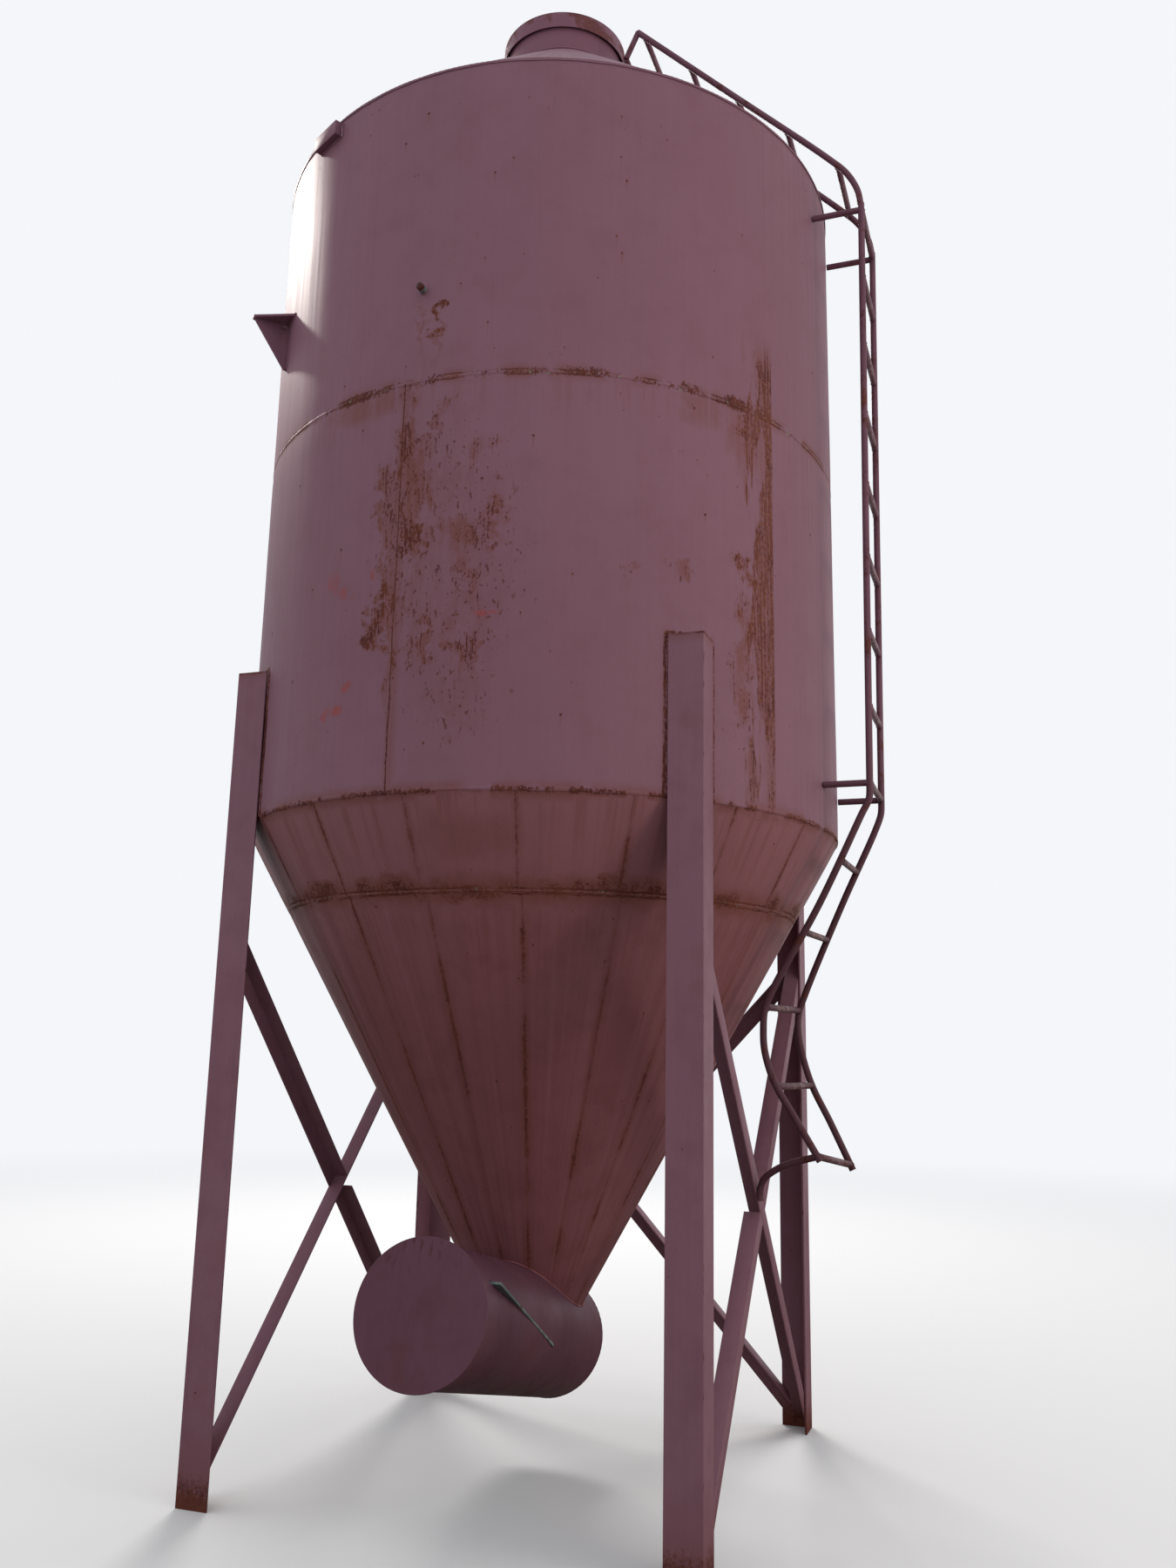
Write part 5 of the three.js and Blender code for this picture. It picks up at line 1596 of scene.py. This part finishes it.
def add_fitting_welds(bead, paint):
    lines = []
    half = math.degrees(math.asin(LUG_HALF_WIDTH / BIN_R))
    side = math.degrees((LUG_T / 2 + TOUCH) / BIN_R)
    for azimuth in LUG_AZIMUTHS:
        lines += [run_round(azimuth, half, z, 12) for z in (LUG_Z, LUG_Z - LUG_T)]
        for turn in (-side, side):
            lines.append(run_down(
                wall_face, azimuth + turn, LUG_Z - LUG_GUSSET_TOP_DROP, LUG_Z - LUG_GUSSET_DROP, ON_WALL, 20))
    half = math.degrees(EAVE_BRACKET_LENGTH / 2 / BIN_R)
    low = EAVE_BRACKET_TOP_Z - EAVE_BRACKET_HEIGHT
    lines.append(run_round(EAVE_BRACKET_AZIMUTH, half, low, 8))
    for turn in (-half, half):
        lines.append(run_down(wall_face, EAVE_BRACKET_AZIMUTH + turn, EAVE_BRACKET_TOP_Z, low, ON_WALL, 10))
    lines.append(([wall_face(PEG_AZIMUTH + math.degrees(x / BIN_R), PEG_Z + z, ON_WALL)
                   for x, z in circle(PEG_R, PEG_WELD_POINTS)], True))
    add_bead("fitting_welds", lines, FITTING_BEAD_R, 1.0, bead, paint)


def add_boot_welds(bead, paint):
    place = along_boot(0.0)
    lines = [([place @ Vector((x, y, along)) for x, y in circle(radius, RING_POINTS)], True)
             for along, radius in ((-TOUCH, BOOT_R), (BOOT_LENGTH, BOOT_R - TOUCH))]
    add_bead("boot_welds", lines, BOOT_BEAD_R, 1.0, bead, paint)


# Stage, lamps and camera

def add_stage():
    """A pale floor that melts into the sky's own brightness far from the object."""
    points = [Vector((x, y, 0.0)) for radius in FLOOR_RINGS for x, y in circle(radius, FLOOR_STEPS)]
    faces = ring_faces(FLOOR_STEPS, len(FLOOR_RINGS))
    faces += [(len(points), k, (k + 1) % FLOOR_STEPS) for k in range(FLOOR_STEPS)]
    floor = add_mesh("stage_floor", points + [Vector((0.0, 0.0, 0.0))], faces)
    pale = Paint("stage_pale")
    x, y, _ = pale.split(pale.spot)
    seen = pale.add("ShaderNodeLightPath").outputs["Is Camera Ray"]
    near = pale.add("ShaderNodeBsdfDiffuse", {"Color": pale.mix(seen, FLOOR_BOUNCE, FLOOR_COLOR)})
    away = pale.add("ShaderNodeEmission", {"Color": SKY_COLOR, "Strength": SKY_STRENGTH})
    far = (x * x + y * y).math("SQRT").fade(FADE_START, FADE_END)
    both = pale.add("ShaderNodeMixShader", {"Fac": far})
    pale.put(both.inputs[1], near.outputs["BSDF"])
    pale.put(both.inputs[2], away.outputs["Emission"])
    pale.add("ShaderNodeOutputMaterial", {"Surface": both.outputs["Shader"]})
    floor.data.materials.append(pale.material)


def add_lamp(name, place, size, power, color, aim=LAMP_AIM, beam=math.pi):
    light = bpy.data.lights.new(name, "AREA")
    light.shape = "DISK"
    light.size = size
    light.energy = power
    light.color = color
    light.spread = beam
    lamp = bpy.data.objects.new(name, light)
    lamp.location = place
    lamp.rotation_euler = (aim - place).to_track_quat("-Z", "Y").to_euler()
    lamp.visible_camera = False
    bpy.context.scene.collection.objects.link(lamp)


def add_sky():
    world = bpy.data.worlds.new("pale_sky")
    world.use_nodes = True
    background = world.node_tree.nodes["Background"]
    background.inputs["Color"].default_value = SKY_COLOR
    background.inputs["Strength"].default_value = SKY_STRENGTH
    bpy.context.scene.world = world
    bpy.context.scene.view_settings.view_transform = "Standard"


def add_camera():
    yaw, pitch, roll = (math.radians(a) for a in (CAMERA_YAW, CAMERA_PITCH, CAMERA_ROLL))
    look = Vector((math.sin(yaw) * math.cos(pitch), math.cos(yaw) * math.cos(pitch), math.sin(pitch)))
    level = Vector((math.cos(yaw), -math.sin(yaw), 0.0))
    upward = level.cross(look)
    across = level * math.cos(roll) + upward * math.sin(roll)
    up = upward * math.cos(roll) - level * math.sin(roll)
    data = bpy.data.cameras.new("photo_view")
    data.lens = CAMERA_LENS
    data.sensor_width = CAMERA_FILM
    data.sensor_height = CAMERA_FILM
    data.clip_end = CAMERA_REACH
    camera = bpy.data.objects.new("photo_view", data)
    turn = Matrix((across, up, -look)).transposed().to_4x4()
    camera.matrix_world = Matrix.Translation(AXIS + CAMERA_PLACE) @ turn
    bpy.context.scene.collection.objects.link(camera)
    bpy.context.scene.camera = camera


def build():
    add_camera()
    add_sky()
    add_lamp("key_lamp", KEY_PLACE, KEY_SIZE, KEY_POWER, KEY_COLOR)
    add_lamp("fill_lamp", FILL_PLACE, FILL_SIZE, FILL_POWER, FILL_COLOR, LAMP_AIM, FILL_SPREAD)
    add_lamp("sun_lamp", SUN_PLACE, SUN_SIZE, SUN_POWER, SUN_COLOR, SUN_AIM, SUN_SPREAD)
    add_stage()
    walls = wall_paint()
    hopper = hopper_paint()
    iron = frame_paint()
    boot = boot_paint()
    ladder = ladder_paint()
    fitting = fitting_paint()
    steel = bare_steel()
    round_bar = pipe_growth()
    bead = bead_growth()
    add_walls(walls)
    add_hopper(hopper)
    add_roof(walls)
    add_collar(fitting)
    add_lid(fitting)
    add_strap(fitting)
    add_hinge(fitting)
    add_legs(iron)
    add_braces(iron)
    add_boot(boot, steel)
    add_roof_ladder(round_bar, bead, ladder)
    add_wall_ladder(round_bar, bead, ladder)
    add_hopper_ladder(round_bar, bead, ladder)
    add_foot_stay(round_bar, ladder)
    add_fittings(fitting, stud_steel())
    add_wall_welds(bead, walls)
    add_hopper_welds(bead, hopper)
    add_leg_welds(bead, walls)
    add_fitting_welds(bead, fitting)
    add_boot_welds(bead, boot)


build()
